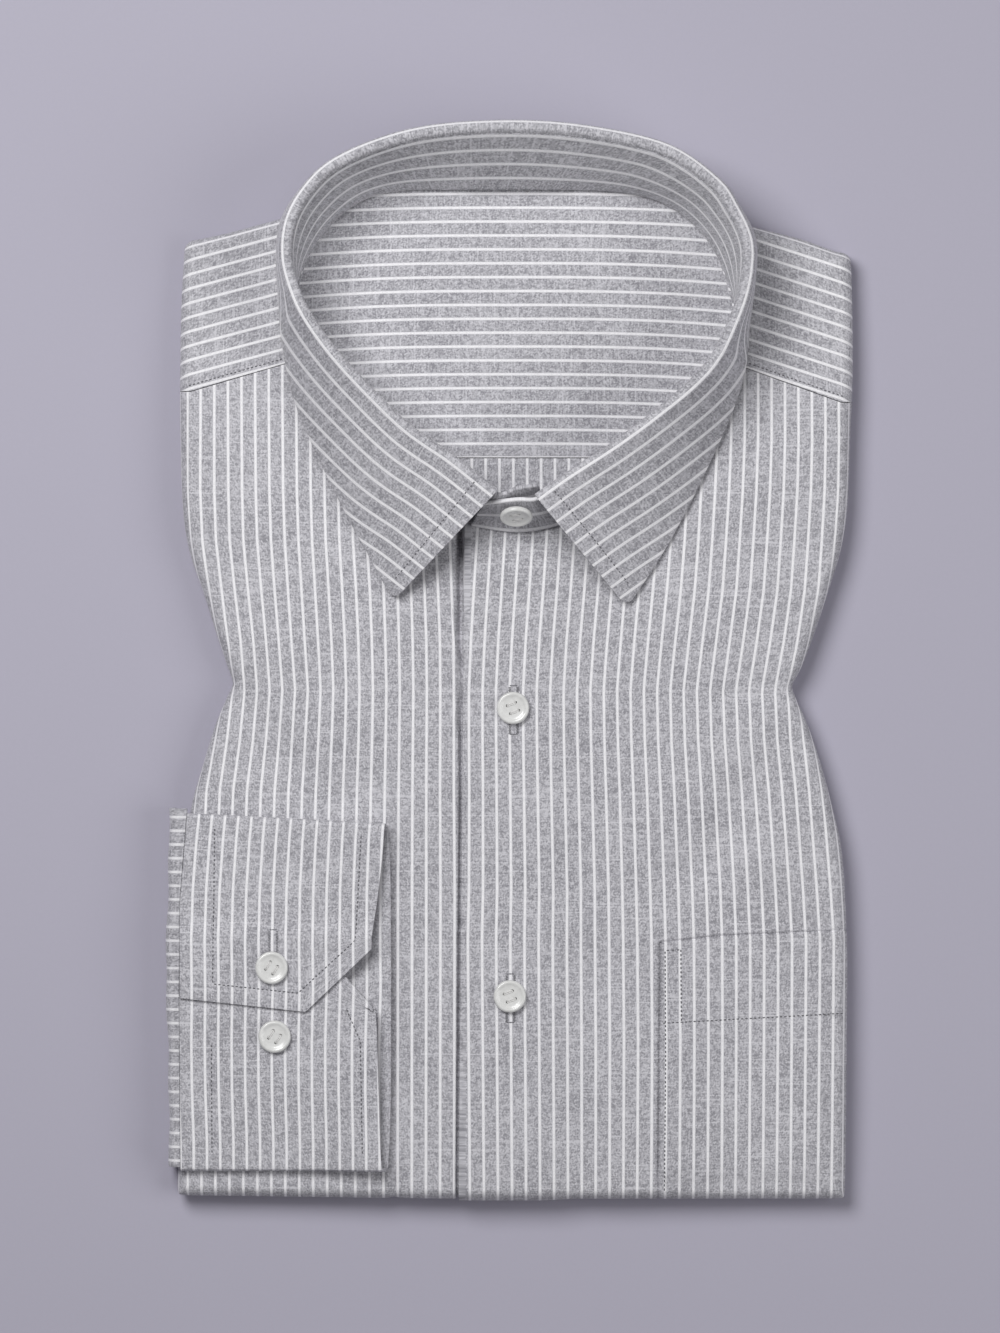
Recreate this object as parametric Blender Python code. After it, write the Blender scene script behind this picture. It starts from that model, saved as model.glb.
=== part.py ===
"""A folded dress shirt lying face up, buttoned, with its collar standing.

The tables and sizes are in millimetres and make_object turns them into metres. X runs across the shirt to the
wearer's left, Y from the bottom fold to the collar, and Z up from the underside, which is flat at z = 0.
"""

import math

import bpy
import numpy as np

MM = 0.001  # metres in a millimetre

SHARP_EDGE = math.radians(40)  # a turn over this stays a sharp edge

CLOTH = 1.2  # wall of a cloth piece
BAND_CLOTH = 1.5  # wall of the interlined collar stand
SEAM_GAP = 0.3  # between two pieces that touch on the real shirt
LAYER = CLOTH + SEAM_GAP  # one layer of cloth laid on another

# A folded edge is a quarter turn that reaches out past the flat top, then tucks under a little.
FOLD_REACH = 4.0
FOLD_SHARE = 0.45  # share of the body's height that the turn takes
FOLD_ANGLES = (30, 60, 90, 115)  # degrees from straight up
CORNER_STEPS = 4

BODY_SECTIONS = (  # y, left fold x, right fold x, height at the sides, height in the middle
    (-190.0, -117.2, 117.2, 12.0, 13.5),
    (-165.0, -116.5, 117.6, 13.0, 15.2),
    (-130.0, -115.4, 117.9, 13.5, 16.0),
    (-100.0, -114.6, 118.0, 13.5, 16.3),
    (-70.0, -113.8, 116.5, 13.5, 16.6),
    (-53.0, -112.4, 113.0, 13.5, 16.8),
    (-38.0, -108.2, 109.0, 13.4, 17.0),
    (-25.0, -104.2, 104.6, 13.3, 17.0),
    (-15.0, -100.0, 100.2, 13.2, 17.0),
    (-8.0, -97.6, 98.8, 13.2, 17.0),
    (1.0, -100.2, 102.8, 13.2, 17.0),
    (12.0, -103.9, 107.0, 13.3, 17.0),
    (26.0, -108.3, 111.6, 13.4, 17.0),
    (40.0, -113.1, 115.9, 13.5, 16.8),
    (55.0, -115.3, 118.2, 13.5, 16.4),
    (80.0, -116.1, 119.2, 13.2, 15.4),
    (100.0, -116.2, 120.0, 12.8, 14.0),
    (125.0, -115.8, 119.9, 12.0, 12.0),
    (150.0, -114.4, 119.2, 11.0, 10.2),
    (172.0, -114.0, 119.0, 9.6, 9.4),
)

BOTTOM_ROW_Y = -186.0  # about where the flat top ends before the bottom fold
SHOULDER_ROW_Y = 145.0  # and before the shoulders'
YOKE_CORNERS_X = (-110.0, 114.0)  # where the side folds meet the shoulders' fold
BOTTOM_FOLD = ((-117.0, -187.8), (-19.0, -189.0), (118.0, -188.9))  # x, y
SHOULDER_FOLD = (  # x, y, from the left corner to the right one
    (-116.0, 146.4),
    (-98.0, 150.4),
    (-80.3, 155.2),
    (-42.0, 166.5),
    (0.0, 170.5),
    (45.0, 166.5),
    (83.0, 152.8),
    (101.0, 148.2),
    (120.0, 141.2),
)

# The collar, a row for each section, from the wearer's left front round the back to the right front.
# The seam is where the stand meets the body, the crest is the middle of the roll, and the edge is the leaf's.
# The inner leg is the leaf's part inside the crest. Columns: seam x y, crest x y z, edge x y z, inner leg.
COLLAR_SECTIONS = (
    (15.8, 48.6, 9.3, 55.9, 40.0, 40.7, 18.5, 18.6, 2.5),
    (27.7, 56.6, 22.1, 64.6, 41.5, 52.8, 36.9, 18.2, 3.0),
    (41.7, 67.1, 36.6, 74.2, 43.0, 61.9, 53.3, 18.0, 3.0),
    (56.5, 79.8, 49.8, 84.2, 44.0, 70.3, 70.5, 17.6, 3.0),
    (67.7, 92.7, 63.2, 95.6, 45.0, 77.7, 87.3, 16.8, 3.0),
    (74.3, 105.4, 71.5, 105.6, 45.5, 82.3, 102.4, 15.2, 3.0),
    (77.8, 120.1, 78.6, 120.8, 45.5, 83.8, 120.0, 13.4, 3.0),
    (75.4, 132.0, 81.8, 133.2, 45.5, 84.2, 134.4, 12.4, 3.0),
    (69.4, 145.0, 81.9, 145.2, 45.0, 84.3, 147.4, 11.4, 3.0),
    (60.7, 154.8, 76.8, 156.6, 44.5, 78.4, 158.6, 8.0, 3.0),
    (48.7, 161.4, 70.2, 165.8, 43.5, 71.2, 167.4, 5.0, 3.0),
    (33.3, 163.9, 53.3, 177.2, 42.5, 53.5, 178.6, 4.0, 3.0),
    (14.4, 164.3, 26.6, 183.3, 42.0, 26.4, 184.5, 4.0, 3.0),
    (-3.8, 164.3, 0.7, 185.2, 42.0, 0.7, 186.6, 4.0, 3.0),
    (-22.8, 164.3, -26.7, 183.6, 42.0, -26.4, 185.2, 4.0, 3.0),
    (-38.2, 164.1, -46.1, 178.8, 42.5, -45.7, 180.6, 4.0, 3.0),
    (-49.1, 161.8, -62.0, 171.3, 43.5, -62.6, 172.4, 5.0, 3.0),
    (-57.8, 156.5, -71.2, 162.1, 44.5, -72.4, 163.8, 8.0, 3.0),
    (-64.9, 149.5, -76.6, 152.0, 45.5, -79.6, 153.4, 11.6, 3.0),
    (-70.8, 140.4, -78.0, 140.5, 46.0, -81.3, 141.4, 12.6, 3.0),
    (-74.3, 129.9, -75.7, 129.4, 46.0, -81.5, 124.2, 13.2, 3.0),
    (-74.3, 118.7, -70.2, 118.0, 46.0, -79.9, 108.1, 14.2, 3.0),
    (-69.8, 106.8, -60.9, 105.2, 45.5, -75.6, 89.8, 15.6, 3.0),
    (-59.9, 94.1, -48.8, 92.1, 44.5, -67.5, 70.8, 17.0, 3.0),
    (-45.2, 79.8, -35.7, 79.7, 43.5, -58.4, 52.3, 17.8, 3.0),
    (-29.1, 64.7, -20.8, 69.4, 42.5, -50.0, 36.9, 18.2, 3.0),
    (-9.9, 50.1, -5.9, 57.6, 41.0, -41.3, 20.8, 18.6, 2.5),
)
YOKE_SEAM_SECTIONS = (5, 22)  # the rows of the collar's table where the shoulder seams end
STAND_ENDS = {  # seam x, seam y, top x, top y, top z of the stand's two ends, which pass each other in front
    "outer": ((1.8, 45.7, 1.8, 56.8, 36.5), (-14.0, 48.0, -9.8, 55.4, 33.6)),
    "inner": ((1.8, 48.4, 1.8, 60.6, 36.4), (12.5, 50.8, 9.5, 61.7, 35.4)),
}
STAND_GAP = 0.5  # under the stand's curved foot
STAND_SHARES = (0.0, 0.35, 0.7, 1.0)  # rows of the stand from its foot to its top
ROLL = 2.2  # radius of the leaf's roll over the crest
ROLL_STEPS = 4
LEAF_STEPS = 5
LEAF_BULGE = 1.2
LEAF_LEAN = 0.35  # how far the leaf's outer face leans outwards from straight up
COLLAR_STEPS_PER_ROW = 2

# The fronts. Columns are shares of the way from the closure to the side fold, rows are the side fold's y.
CLOSURE_X = -16.6
CLOSURE_SLOPE = 0.009
UNDER_EDGE_X = 9.0  # where the hidden right front ends
LAP_RAMP = (10.5, 24.0)  # over these x the left front comes down beside the right front's edge
LAP_MARGIN = 4.0  # what lies on the closure is already this high so far beside it
SIDE_ROWS = (
    *(-170, -152, -133, -114, -95, -80, -66, -53, -42, -33, -25),
    *(-18, -13, -8, -3, 4, 12, 21, 31, 42, 56, 74),
)
LEFT_FRONT_SHARES = (0.0, 0.04, 0.12, 0.2, 0.26, 0.33, 0.42, 0.535, 0.62, 0.704, 0.8, 0.9, 1.0)
RIGHT_FRONT_SHARES = (0.0, 0.1, 0.21, 0.32, 0.43, 0.55, 0.671, 0.78, 0.89, 1.0)
SIDE_SEAM_Y = (94.3, 90.5)  # where the shoulder seams reach the side folds, wearer's right and left
SEAM_ROUNDS = 30  # steps to find where a slanted column meets the curved seam
ROW_TILT = (0.0, -34.0)  # how the rows drop towards the closure, wearer's right and left
POCKET_SHARE = 0.535  # the pocket's edge is the left front's column here
POCKET_TOP_Y = -95  # and the row here

NECK_EDGE_INSET = 1.8  # the body's cloth runs this far inside the stand's seam
PIT_INSET = 1.0
PIT_FLOOR = 5.5
PIT_TOP = 30.0  # the cutter's top, over every cloth
INNER_YOKE_SEAM_Y = 71.2
INNER_INSET = 1.4
INNER_REST = 7.0  # top of the cloth at the pit's floor
INNER_RISE = 0.7  # and how much higher it lies at the back
INNER_RISE_Y = 120.0
INNER_END_GAP = 1.4  # the inside pieces end this far before the ring's own ends
INNER_COLUMNS = 9
YOKE_STEPS = (5, 25)  # points up each side fold, and along the shoulders
YOKE_SHARES = (0.0, 0.33, 0.67, 1.0)  # rows of the yoke from the neck to the folds
YOKE_LEAST_WIDTH = 3.5  # behind the neck, from its edge to the start of the fold

# The hidden layers' edge, from the top fold's end down to the underside: reach, and share of the height.
CORE_EDGE = (
    (2.0, 0.60),
    (2.0, 0.45),
    (1.4, 0.35),
    (2.8, 0.325),
    (3.5, 0.26),
    (2.9, 0.195),
    (1.5, 0.175),
    (3.0, 0.155),
    (3.6, 0.08),
    (2.8, 0.0),
)
CORE_COLUMNS = 15
CORE_SHOULDER_ROWS = (92, 108, 125)  # y at the side folds, past the fronts' own rows

# The cuff lies on the right front as a flattened tube. Its path runs round the tube, a row for each stage:
# y, height above the front, and x at the hand edge.
CUFF_SEAM = ((-180.0, -115.6), (-115.0, -116.0), (-84.0, -115.7), (-53.0, -113.2))  # y, x
CUFF_PATH = (
    (-98.0, 3.3, -48.5),
    (-124.0, 3.3, -47.2),
    (-150.0, 3.3, -46.3),
    (-172.0, 3.3, -45.6),
    (-177.2, 3.3, -45.0),
    (-178.3, 2.8, -44.7),
    (-178.7, 1.8, -44.2),
    (-178.3, 0.8, -43.6),
    (-177.2, 0.3, -43.0),
    (-160.0, 0.3, -42.2),
    (-130.0, 0.3, -42.0),
    (-100.0, 0.3, -42.0),
    (-72.0, 0.3, -42.2),
    (-54.9, 0.3, -43.0),
    (-53.8, 0.8, -43.4),
    (-53.4, 1.8, -43.8),
    (-53.8, 2.8, -44.0),
    (-54.9, 3.3, -44.2),
    (-70.0, 3.3, -45.4),
    (-84.0, 3.3, -46.9),
    (-91.0, 3.5, -47.9),
    (-96.5, 4.9, -48.7),
)
CUFF_TOP_DROP = 3.5  # how much lower the top fold lies at the hand edge
CUFF_SHARES = (0.0, 0.17, 0.34, 0.5, 0.66, 0.83, 1.0)  # columns from the sleeve seam to the hand edge
UNDER_FLAP_EDGE = ((-116.0, -98.0), (-69.0, -98.0), (-47.2, -122.3))  # x, y of the hidden flap's free edge
OVER_FLAP_EDGE = ((-116.0, -118.0), (-71.8, -122.7), (-48.7, -100.6))
CUFF_FOLD_Y = -55.0  # from here up the whole fold drops with its edge
OVER_FLAP_STEPS = (0.33, 0.66, 1.0)
UNDER_FLAP_STEPS = (1.0, 0.5)
CUFF_SIDE_INSET = 0.5  # past here the cuff stays as high as over the front's side

# The sleeve's end comes round the side fold: x, and height above the front or above the table.
SLEEVE_ENDS = (-51.8, -177.4)
SLEEVE_STEPS = 9
SLEEVE_PATH = ((-116.4, 16.0), (-118.2, 15.2), (-119.5, 13.0), (-120.0, 9.0), (-119.8, 5.0), (-119.0, 1.6))
SLEEVE_CLOTH = 1.6
SLEEVE_GAP = 0.9  # to the cuff
SLEEVE_SHOULDER_X = -119.5  # inside of here the sleeve's top is stretched to meet the cuff

# An 18-line shirt button, 11.4 mm across.
BUTTON_PROFILE = ((4.7, 0.0), (5.6, 0.7), (5.7, 1.5), (5.2, 2.3), (4.3, 2.3), (3.5, 1.6))  # radius, height
BUTTON_SEGMENTS = 20
HOLE_SEGMENTS = 8
HOLE_RADIUS = 0.85
HOLE_SPREAD = 2.1  # from the button's middle to a hole's
DRILL = (-1.0, 4.0)  # the holes' cutter runs from under the button to over it
BUTTON_TURN = {"front": 0.4, "cuff": 1.0}  # radians that the four holes are turned
COLLAR_BUTTON_SHARE = 0.7  # how far up the stand's end the collar button is
COLLAR_BUTTON_GAP = 1.3  # to the stand, which curves away behind it
FRONT_BUTTONS = {"button_front_upper": (0.7, -16.6), "button_front_lower": (-0.4, -117.4)}
CUFF_BUTTONS = {"button_cuff_upper": (-83.6, -107.3, 4.9), "button_cuff_lower": (-82.6, -131.4, 3.3)}

CLOTH_COLOUR = (0.33, 0.32, 0.34, 1.0)
HIDDEN_COLOUR = (0.28, 0.27, 0.29, 1.0)
BUTTON_COLOUR = (0.72, 0.72, 0.70, 1.0)


# ---------------------------------------------------------------- curves and surfaces


def spline(rows, at):
    """Catmull-Rom curve through the rows, read at places counted in rows."""
    rows = np.asarray(rows, float)
    at = np.asarray(at, float)
    ends = np.vstack([2 * rows[0] - rows[1], rows, 2 * rows[-1] - rows[-2]])
    first = np.clip(np.floor(at).astype(int), 0, len(rows) - 2)
    share = (at - first)[:, None]
    before, start, end, after = (ends[first + step] for step in range(4))
    return (
        start
        + 0.5 * (end - before) * share
        + 0.5 * (2 * before - 5 * start + 4 * end - after) * share**2
        + 0.5 * (3 * start - before - 3 * end + after) * share**3
    )


def smooth_table(rows, per_row=8):
    """The rows of a table with smooth ones between them, as columns."""
    return spline(rows, np.linspace(0, len(rows) - 1, per_row * (len(rows) - 1) + 1)).T


BODY = smooth_table(BODY_SECTIONS)


def body_at(y):
    """Left and right fold, and heights at the sides and the middle, of the body at y."""
    return [np.interp(y, BODY[0], column) for column in BODY[1:]]


def body_height(x, y):
    """Height of the fronts' outer face over the flat top."""
    left, right, side, middle = body_at(y)
    across = np.clip((2 * x - left - right) / (right - left), -1, 1)
    return middle + (side - middle) * across**2


def ramp(x, start, end):
    """0 before start, 1 after end, smooth between."""
    share = np.clip((x - start) / (end - start), 0, 1)
    return share * share * (3 - 2 * share)


def lap(x):
    """How much higher the left front lies over the right one."""
    return LAYER * (1 - ramp(x, *LAP_RAMP))


def on_line(table, x):
    rows = np.asarray(table, float)
    return np.interp(x, rows[:, 0], rows[:, 1])


def unit(vectors):
    return vectors / np.linalg.norm(vectors, axis=-1, keepdims=True)


def right_of(path):
    """Unit normals on the right-hand side of a plan path."""
    along = np.gradient(path, axis=0)
    return unit(np.stack([along[:, 1], -along[:, 0]], axis=1))


def fold_point(base, outward, angle, lift=0.0):
    """A point of a folded edge, lift outside the cloth's outer face."""
    height = body_height(base[:, 0], base[:, 1])
    turn = math.radians(angle)
    out = base + outward * (FOLD_REACH + np.reshape(lift, (-1, 1))) * math.sin(turn)
    middle = (1 - FOLD_SHARE) * height
    return np.column_stack([out, middle + (FOLD_SHARE * height + lift) * math.cos(turn)])


# ---------------------------------------------------------------- meshes


def make_material(name, colour, roughness):
    material = bpy.data.materials.new(name)
    material.use_nodes = True
    shader = material.node_tree.nodes["Principled BSDF"]
    shader.inputs["Base Color"].default_value = colour
    shader.inputs["Roughness"].default_value = roughness
    shader.inputs["Metallic"].default_value = 0.0
    return material


def make_object(name, points, faces, material):
    mesh = bpy.data.meshes.new(name)
    mesh.from_pydata((np.asarray(points) * MM).tolist(), [], faces)
    mesh.materials.append(material)
    mesh.shade_smooth()
    mesh.set_sharp_from_angle(angle=SHARP_EDGE)
    made = bpy.data.objects.new(name, mesh)
    bpy.context.scene.collection.objects.link(made)
    return made


def strip_faces(first, second):
    """Faces between two rows of point numbers, with triangles where points repeat."""
    faces = []
    for a, b, c, d in zip(first, first[1:], second[1:], second):
        face = list(dict.fromkeys((a, b, c, d)))
        if len(face) > 2:
            faces.append(face)
    return faces


def grid_faces(numbers):
    faces = []
    for first, second in zip(numbers, numbers[1:]):
        faces += strip_faces(list(first), list(second))
    return faces


def make_cloth(name, points, faces, material, wall=CLOTH):
    """A wall of cloth under the given outer face."""
    made = make_object(name, points, faces, material)
    thickness = made.modifiers.new("Cloth", "SOLIDIFY")
    thickness.thickness = wall * MM
    thickness.offset = -1
    return made


def make_cloth_grid(name, grid, material, wall=CLOTH):
    grid = np.asarray(grid)
    numbers = np.arange(grid.shape[0] * grid.shape[1]).reshape(grid.shape[:2])
    return make_cloth(name, grid.reshape(-1, 3), grid_faces(numbers), material, wall)


def rim_with_corners(base, outward, numbers, corners):
    """The rim's points and normals with a fan of normals at each corner."""
    rows = []
    for i, (point, normal, number) in enumerate(zip(base, outward, numbers)):
        if i not in corners:
            rows.append((point, normal, number))
            continue
        start, end = (math.atan2(n[1], n[0]) for n in corners[i])
        turn = (end - start + math.pi) % (2 * math.pi) - math.pi
        for step in range(CORNER_STEPS + 1):
            angle = start + turn * step / CORNER_STEPS
            rows.append((point, np.array([math.cos(angle), math.sin(angle)]), number))
    points, normals, indexes = zip(*rows)
    return np.array(points), np.array(normals), list(indexes)


# ---------------------------------------------------------------- the neck and the collar


def neck_ring(inset):
    """Closed plan outline of the stand's seam, moved into the neck, from the left front round the back."""
    seam = np.array(COLLAR_SECTIONS)[1:, :2]
    front = np.array([end[:2] for end in STAND_ENDS["inner"]])
    knots = np.vstack([seam, front])
    loop = np.vstack([knots[-2:], knots, knots[:3]])
    ring = spline(loop, np.linspace(2, len(knots) + 2, 6 * len(knots) + 1))[:-1]
    around = np.vstack([ring[-1:], ring, ring[:1]])
    inward = -right_of(around)[1:-1]
    return ring + inward * inset


def neck_edge(rows):
    """The body's neck edge at places counted in rows of the collar's table."""
    seam = np.array(COLLAR_SECTIONS)[:, :2]
    dense = np.linspace(0, len(seam) - 1, 6 * (len(seam) - 1) + 1)
    path = spline(seam, dense)
    inset = path - right_of(path) * NECK_EDGE_INSET
    return np.column_stack([np.interp(rows, dense, column) for column in inset.T])


def cloth_under(x, y):
    """Height of whichever front lies on top there."""
    over = np.where(x > CLOSURE_X + CLOSURE_SLOPE * y - LAP_MARGIN, lap(x), 0.0)
    return body_height(x, y) + over


def collar_sections():
    """The stand's foot and top, and the leaf's points from its seam to its edge, a row for each section."""
    count = len(COLLAR_SECTIONS) - 1
    rows = spline(COLLAR_SECTIONS, np.linspace(0, count, COLLAR_STEPS_PER_ROW * count + 1))
    seam, crest, edge, leg = rows[:, :2], rows[:, 2:5].copy(), rows[:, 5:8].copy(), rows[:, 8:9]
    foot = np.column_stack([seam, cloth_under(seam[:, 0], seam[:, 1]) + STAND_GAP])
    on_body = edge[:, 1] < on_line(SHOULDER_FOLD, edge[:, 0]) + 1
    resting = cloth_under(edge[:, 0], edge[:, 1]) + CLOTH + 2 * SEAM_GAP
    edge[:, 2] = np.where(on_body, np.maximum(edge[:, 2], resting), edge[:, 2])
    outward = np.column_stack([right_of(crest[:, :2]), np.zeros(len(crest))])
    middle = crest - (0, 0, ROLL)
    rise = unit(middle - foot)
    fall = unit(edge - middle)
    inner = -unit(outward - rise * (outward * rise).sum(1, keepdims=True))
    up = np.array([0.0, 0.0, 1.0]) + LEAF_LEAN * outward
    outer = unit(up - fall * (up * fall).sum(1, keepdims=True))
    start = middle + inner * ROLL
    stand_line = foot - start
    length = np.linalg.norm(stand_line, axis=1, keepdims=True)
    leaf = [start + stand_line * leg / length, start]
    for step in range(1, ROLL_STEPS):
        share = step / ROLL_STEPS
        leaf.append(middle + ROLL * slerp(inner, outer, share))
    shoulder = middle + outer * ROLL
    for step in range(LEAF_STEPS + 1):
        share = step / LEAF_STEPS
        bulge = LEAF_BULGE * math.sin(math.pi * share)
        leaf.append(shoulder + (edge - shoulder) * share + outer * bulge)
    top = start + stand_line * (leg + SEAM_GAP) / length
    return foot, top, np.stack(leaf)


def slerp(start, end, share):
    angle = np.arccos(np.clip((start * end).sum(1, keepdims=True), -1, 1))
    return (np.sin((1 - share) * angle) * start + np.sin(share * angle) * end) / np.sin(angle)


def make_collar(material):
    foot, top, leaf = collar_sections()
    make_cloth_grid("collar_leaf", leaf[:, ::-1], material)
    ends = {}
    for name, rows in STAND_ENDS.items():
        rows = np.array(rows)
        ends[name] = (
            np.column_stack([rows[:, :2], cloth_under(rows[:, 0], rows[:, 1]) + STAND_GAP]),
            rows[:, 2:],
        )
    foot = np.vstack([ends["outer"][0][::-1], foot, ends["inner"][0]])
    top = np.vstack([ends["outer"][1][::-1], top, ends["inner"][1]])
    stand = np.stack([foot + (top - foot) * share for share in STAND_SHARES])
    make_cloth_grid("collar_stand", stand[:, ::-1], material, BAND_CLOTH)

# ---------------------------------------------------------------- the body


def top_seam(x):
    """The upper edge of both fronts: the shoulder seams and the neck edge between them."""
    left_rows = np.arange(YOKE_SEAM_SECTIONS[1], len(COLLAR_SECTIONS))
    right_rows = np.arange(0, YOKE_SEAM_SECTIONS[0] + 1)
    middle = np.array([end[:2] for end in STAND_ENDS["inner"][:1]]) + (0, NECK_EDGE_INSET)
    left_side = (body_at(SIDE_SEAM_Y[0])[0] + FOLD_REACH, SIDE_SEAM_Y[0])
    right_side = (body_at(SIDE_SEAM_Y[1])[1] - FOLD_REACH, SIDE_SEAM_Y[1])
    right_neck = neck_edge(right_rows)
    right_neck[0] = np.array(STAND_ENDS["inner"][1][:2]) + (0, NECK_EDGE_INSET)
    path = np.vstack([left_side, neck_edge(left_rows), middle, right_neck, right_side])
    return np.interp(x, path[:, 0], path[:, 1])


def front_column(closure_x, slope, side, share, up):
    """Plan points up one column of a front, where share runs from the closure to the side fold.

    The rows are level near the bottom and follow the shoulder seam and the neck near the top.
    """
    reach = FOLD_REACH if side == 0 else -FOLD_REACH

    def x_at(y):
        closure = closure_x + slope * y
        return closure + share * (body_at(y)[side] + reach - closure)

    top_y = SIDE_SEAM_Y[side]
    for _ in range(SEAM_ROUNDS):
        top_y = 0.5 * top_y + 0.5 * (top_seam(x_at(top_y)) - SEAM_GAP / 2)
    bottom_y = bottom_base(x_at(BOTTOM_ROW_Y))
    level = bottom_y + up * (SIDE_SEAM_Y[side] - bottom_y)
    tilt = ROW_TILT[side] * (1 - share) * up * (1 - up)
    y = level + tilt + (top_y - SIDE_SEAM_Y[side]) * up**3
    return np.column_stack([x_at(y), y])


def bottom_base(x):
    """Where the flat top ends before the bottom fold."""
    return on_line(BOTTOM_FOLD, x) + FOLD_REACH


def make_front(name, material, closure, side, shares, rows, lift, wall=CLOTH):
    """One front, or a piece laid on it: a grid with a rim round the side fold, the corner and the bottom."""
    ends = front_column(*closure, side, 1.0, np.array([0.0, 1.0]))[:, 1]
    up = (np.array([ends[0], *rows]) - ends[0]) / (ends[1] - ends[0])
    if len(rows) == len(SIDE_ROWS):
        up = np.append(up, 1.0)
    plan = np.stack([front_column(*closure, side, share, up) for share in shares], axis=1)
    height = body_height(plan[..., 0], plan[..., 1]) + lift(plan[..., 0])
    grid = np.concatenate([plan, height[..., None]], axis=2)
    numbers = np.arange(grid[..., 0].size).reshape(height.shape)
    side_numbers = list(numbers[::-1, -1])
    base = np.vstack([plan[::-1, -1], plan[0, -2::-1]])
    base_numbers = side_numbers + list(numbers[0, -2::-1])
    corner = len(side_numbers) - 1
    side_out = right_of(plan[::-1, -1]) * (1 if side == 0 else -1)
    bottom_out = np.tile((0.0, -1.0), (len(shares) - 1, 1))
    outward = np.vstack([side_out, bottom_out])
    corners = {corner: (side_out[-1], (0.0, -1.0))}
    base, outward, base_numbers = rim_with_corners(base, outward, base_numbers, corners)
    points = [grid.reshape(-1, 3)]
    faces = grid_faces(numbers)
    above = base_numbers
    for angle in FOLD_ANGLES:
        start = sum(map(len, points))
        points.append(fold_point(base, outward, angle, lift(base[:, 0])))
        below = list(range(start, start + len(base)))
        faces += strip_faces(above, below)
        above = below
    if side == 0:
        faces = [face[::-1] for face in faces]
    return make_cloth(name, np.vstack(points), faces, material, wall)


def flat_lift(x):
    return np.zeros_like(x)


def make_fronts(material):
    make_front("front_right", material, (UNDER_EDGE_X, 0.0), 0, RIGHT_FRONT_SHARES, SIDE_ROWS, flat_lift)
    closure = (CLOSURE_X, CLOSURE_SLOPE)
    make_front("front_left", material, closure, 1, LEFT_FRONT_SHARES, SIDE_ROWS, lap)
    shares = [share for share in LEFT_FRONT_SHARES if share >= POCKET_SHARE]
    rows = [y for y in SIDE_ROWS if y <= POCKET_TOP_Y]
    make_front("pocket", material, closure, 1, shares, rows, lambda x: lap(x) + LAYER)


def make_yoke(material):
    """The outer yoke, from one shoulder seam round behind the neck to the other."""
    side_steps, top_steps = YOKE_STEPS
    first, last = YOKE_SEAM_SECTIONS
    inner = neck_edge(np.linspace(first, last, 2 * side_steps + top_steps - 2))
    fold_start = on_line(SHOULDER_FOLD, inner[:, 0]) - FOLD_REACH
    inner[:, 1] = np.minimum(inner[:, 1], fold_start - YOKE_LEAST_WIDTH)
    right_y = np.linspace(SIDE_SEAM_Y[1], on_line(SHOULDER_FOLD, YOKE_CORNERS_X[1]) - FOLD_REACH, side_steps)
    left_y = np.linspace(on_line(SHOULDER_FOLD, YOKE_CORNERS_X[0]) - FOLD_REACH, SIDE_SEAM_Y[0], side_steps)
    right = np.column_stack([body_at(right_y)[1] - FOLD_REACH, right_y])
    left = np.column_stack([body_at(left_y)[0] + FOLD_REACH, left_y])
    top_x = np.linspace(right[-1, 0], left[0, 0], top_steps)
    top = np.column_stack([top_x, on_line(SHOULDER_FOLD, top_x) - FOLD_REACH])
    outer = np.vstack([right, top[1:-1], left])
    for row in (inner, outer):
        row[0, 1] += SEAM_GAP / 2
        row[-1, 1] += SEAM_GAP / 2
    plan = np.stack([inner + (outer - inner) * share for share in YOKE_SHARES])
    height = body_height(plan[..., 0], plan[..., 1])
    grid = np.concatenate([plan, height[..., None]], axis=2)
    numbers = np.arange(height.size).reshape(height.shape)
    outward = right_of(outer)
    up = np.array((0.0, 1.0))
    outward[:side_steps] = (1.0, 0.0)
    outward[-side_steps:] = (-1.0, 0.0)
    corners = {side_steps - 1: ((1.0, 0.0), up), len(outer) - side_steps: (up, (-1.0, 0.0))}
    base, outward, above = rim_with_corners(outer, outward, list(numbers[-1]), corners)
    points = [grid.reshape(-1, 3)]
    faces = grid_faces(numbers)
    for angle in FOLD_ANGLES:
        start = sum(map(len, points))
        points.append(fold_point(base, outward, angle))
        below = list(range(start, start + len(base)))
        faces += strip_faces(above, below)
        above = below
    make_cloth("yoke_outer", np.vstack(points), [face[::-1] for face in faces], material)


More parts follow.
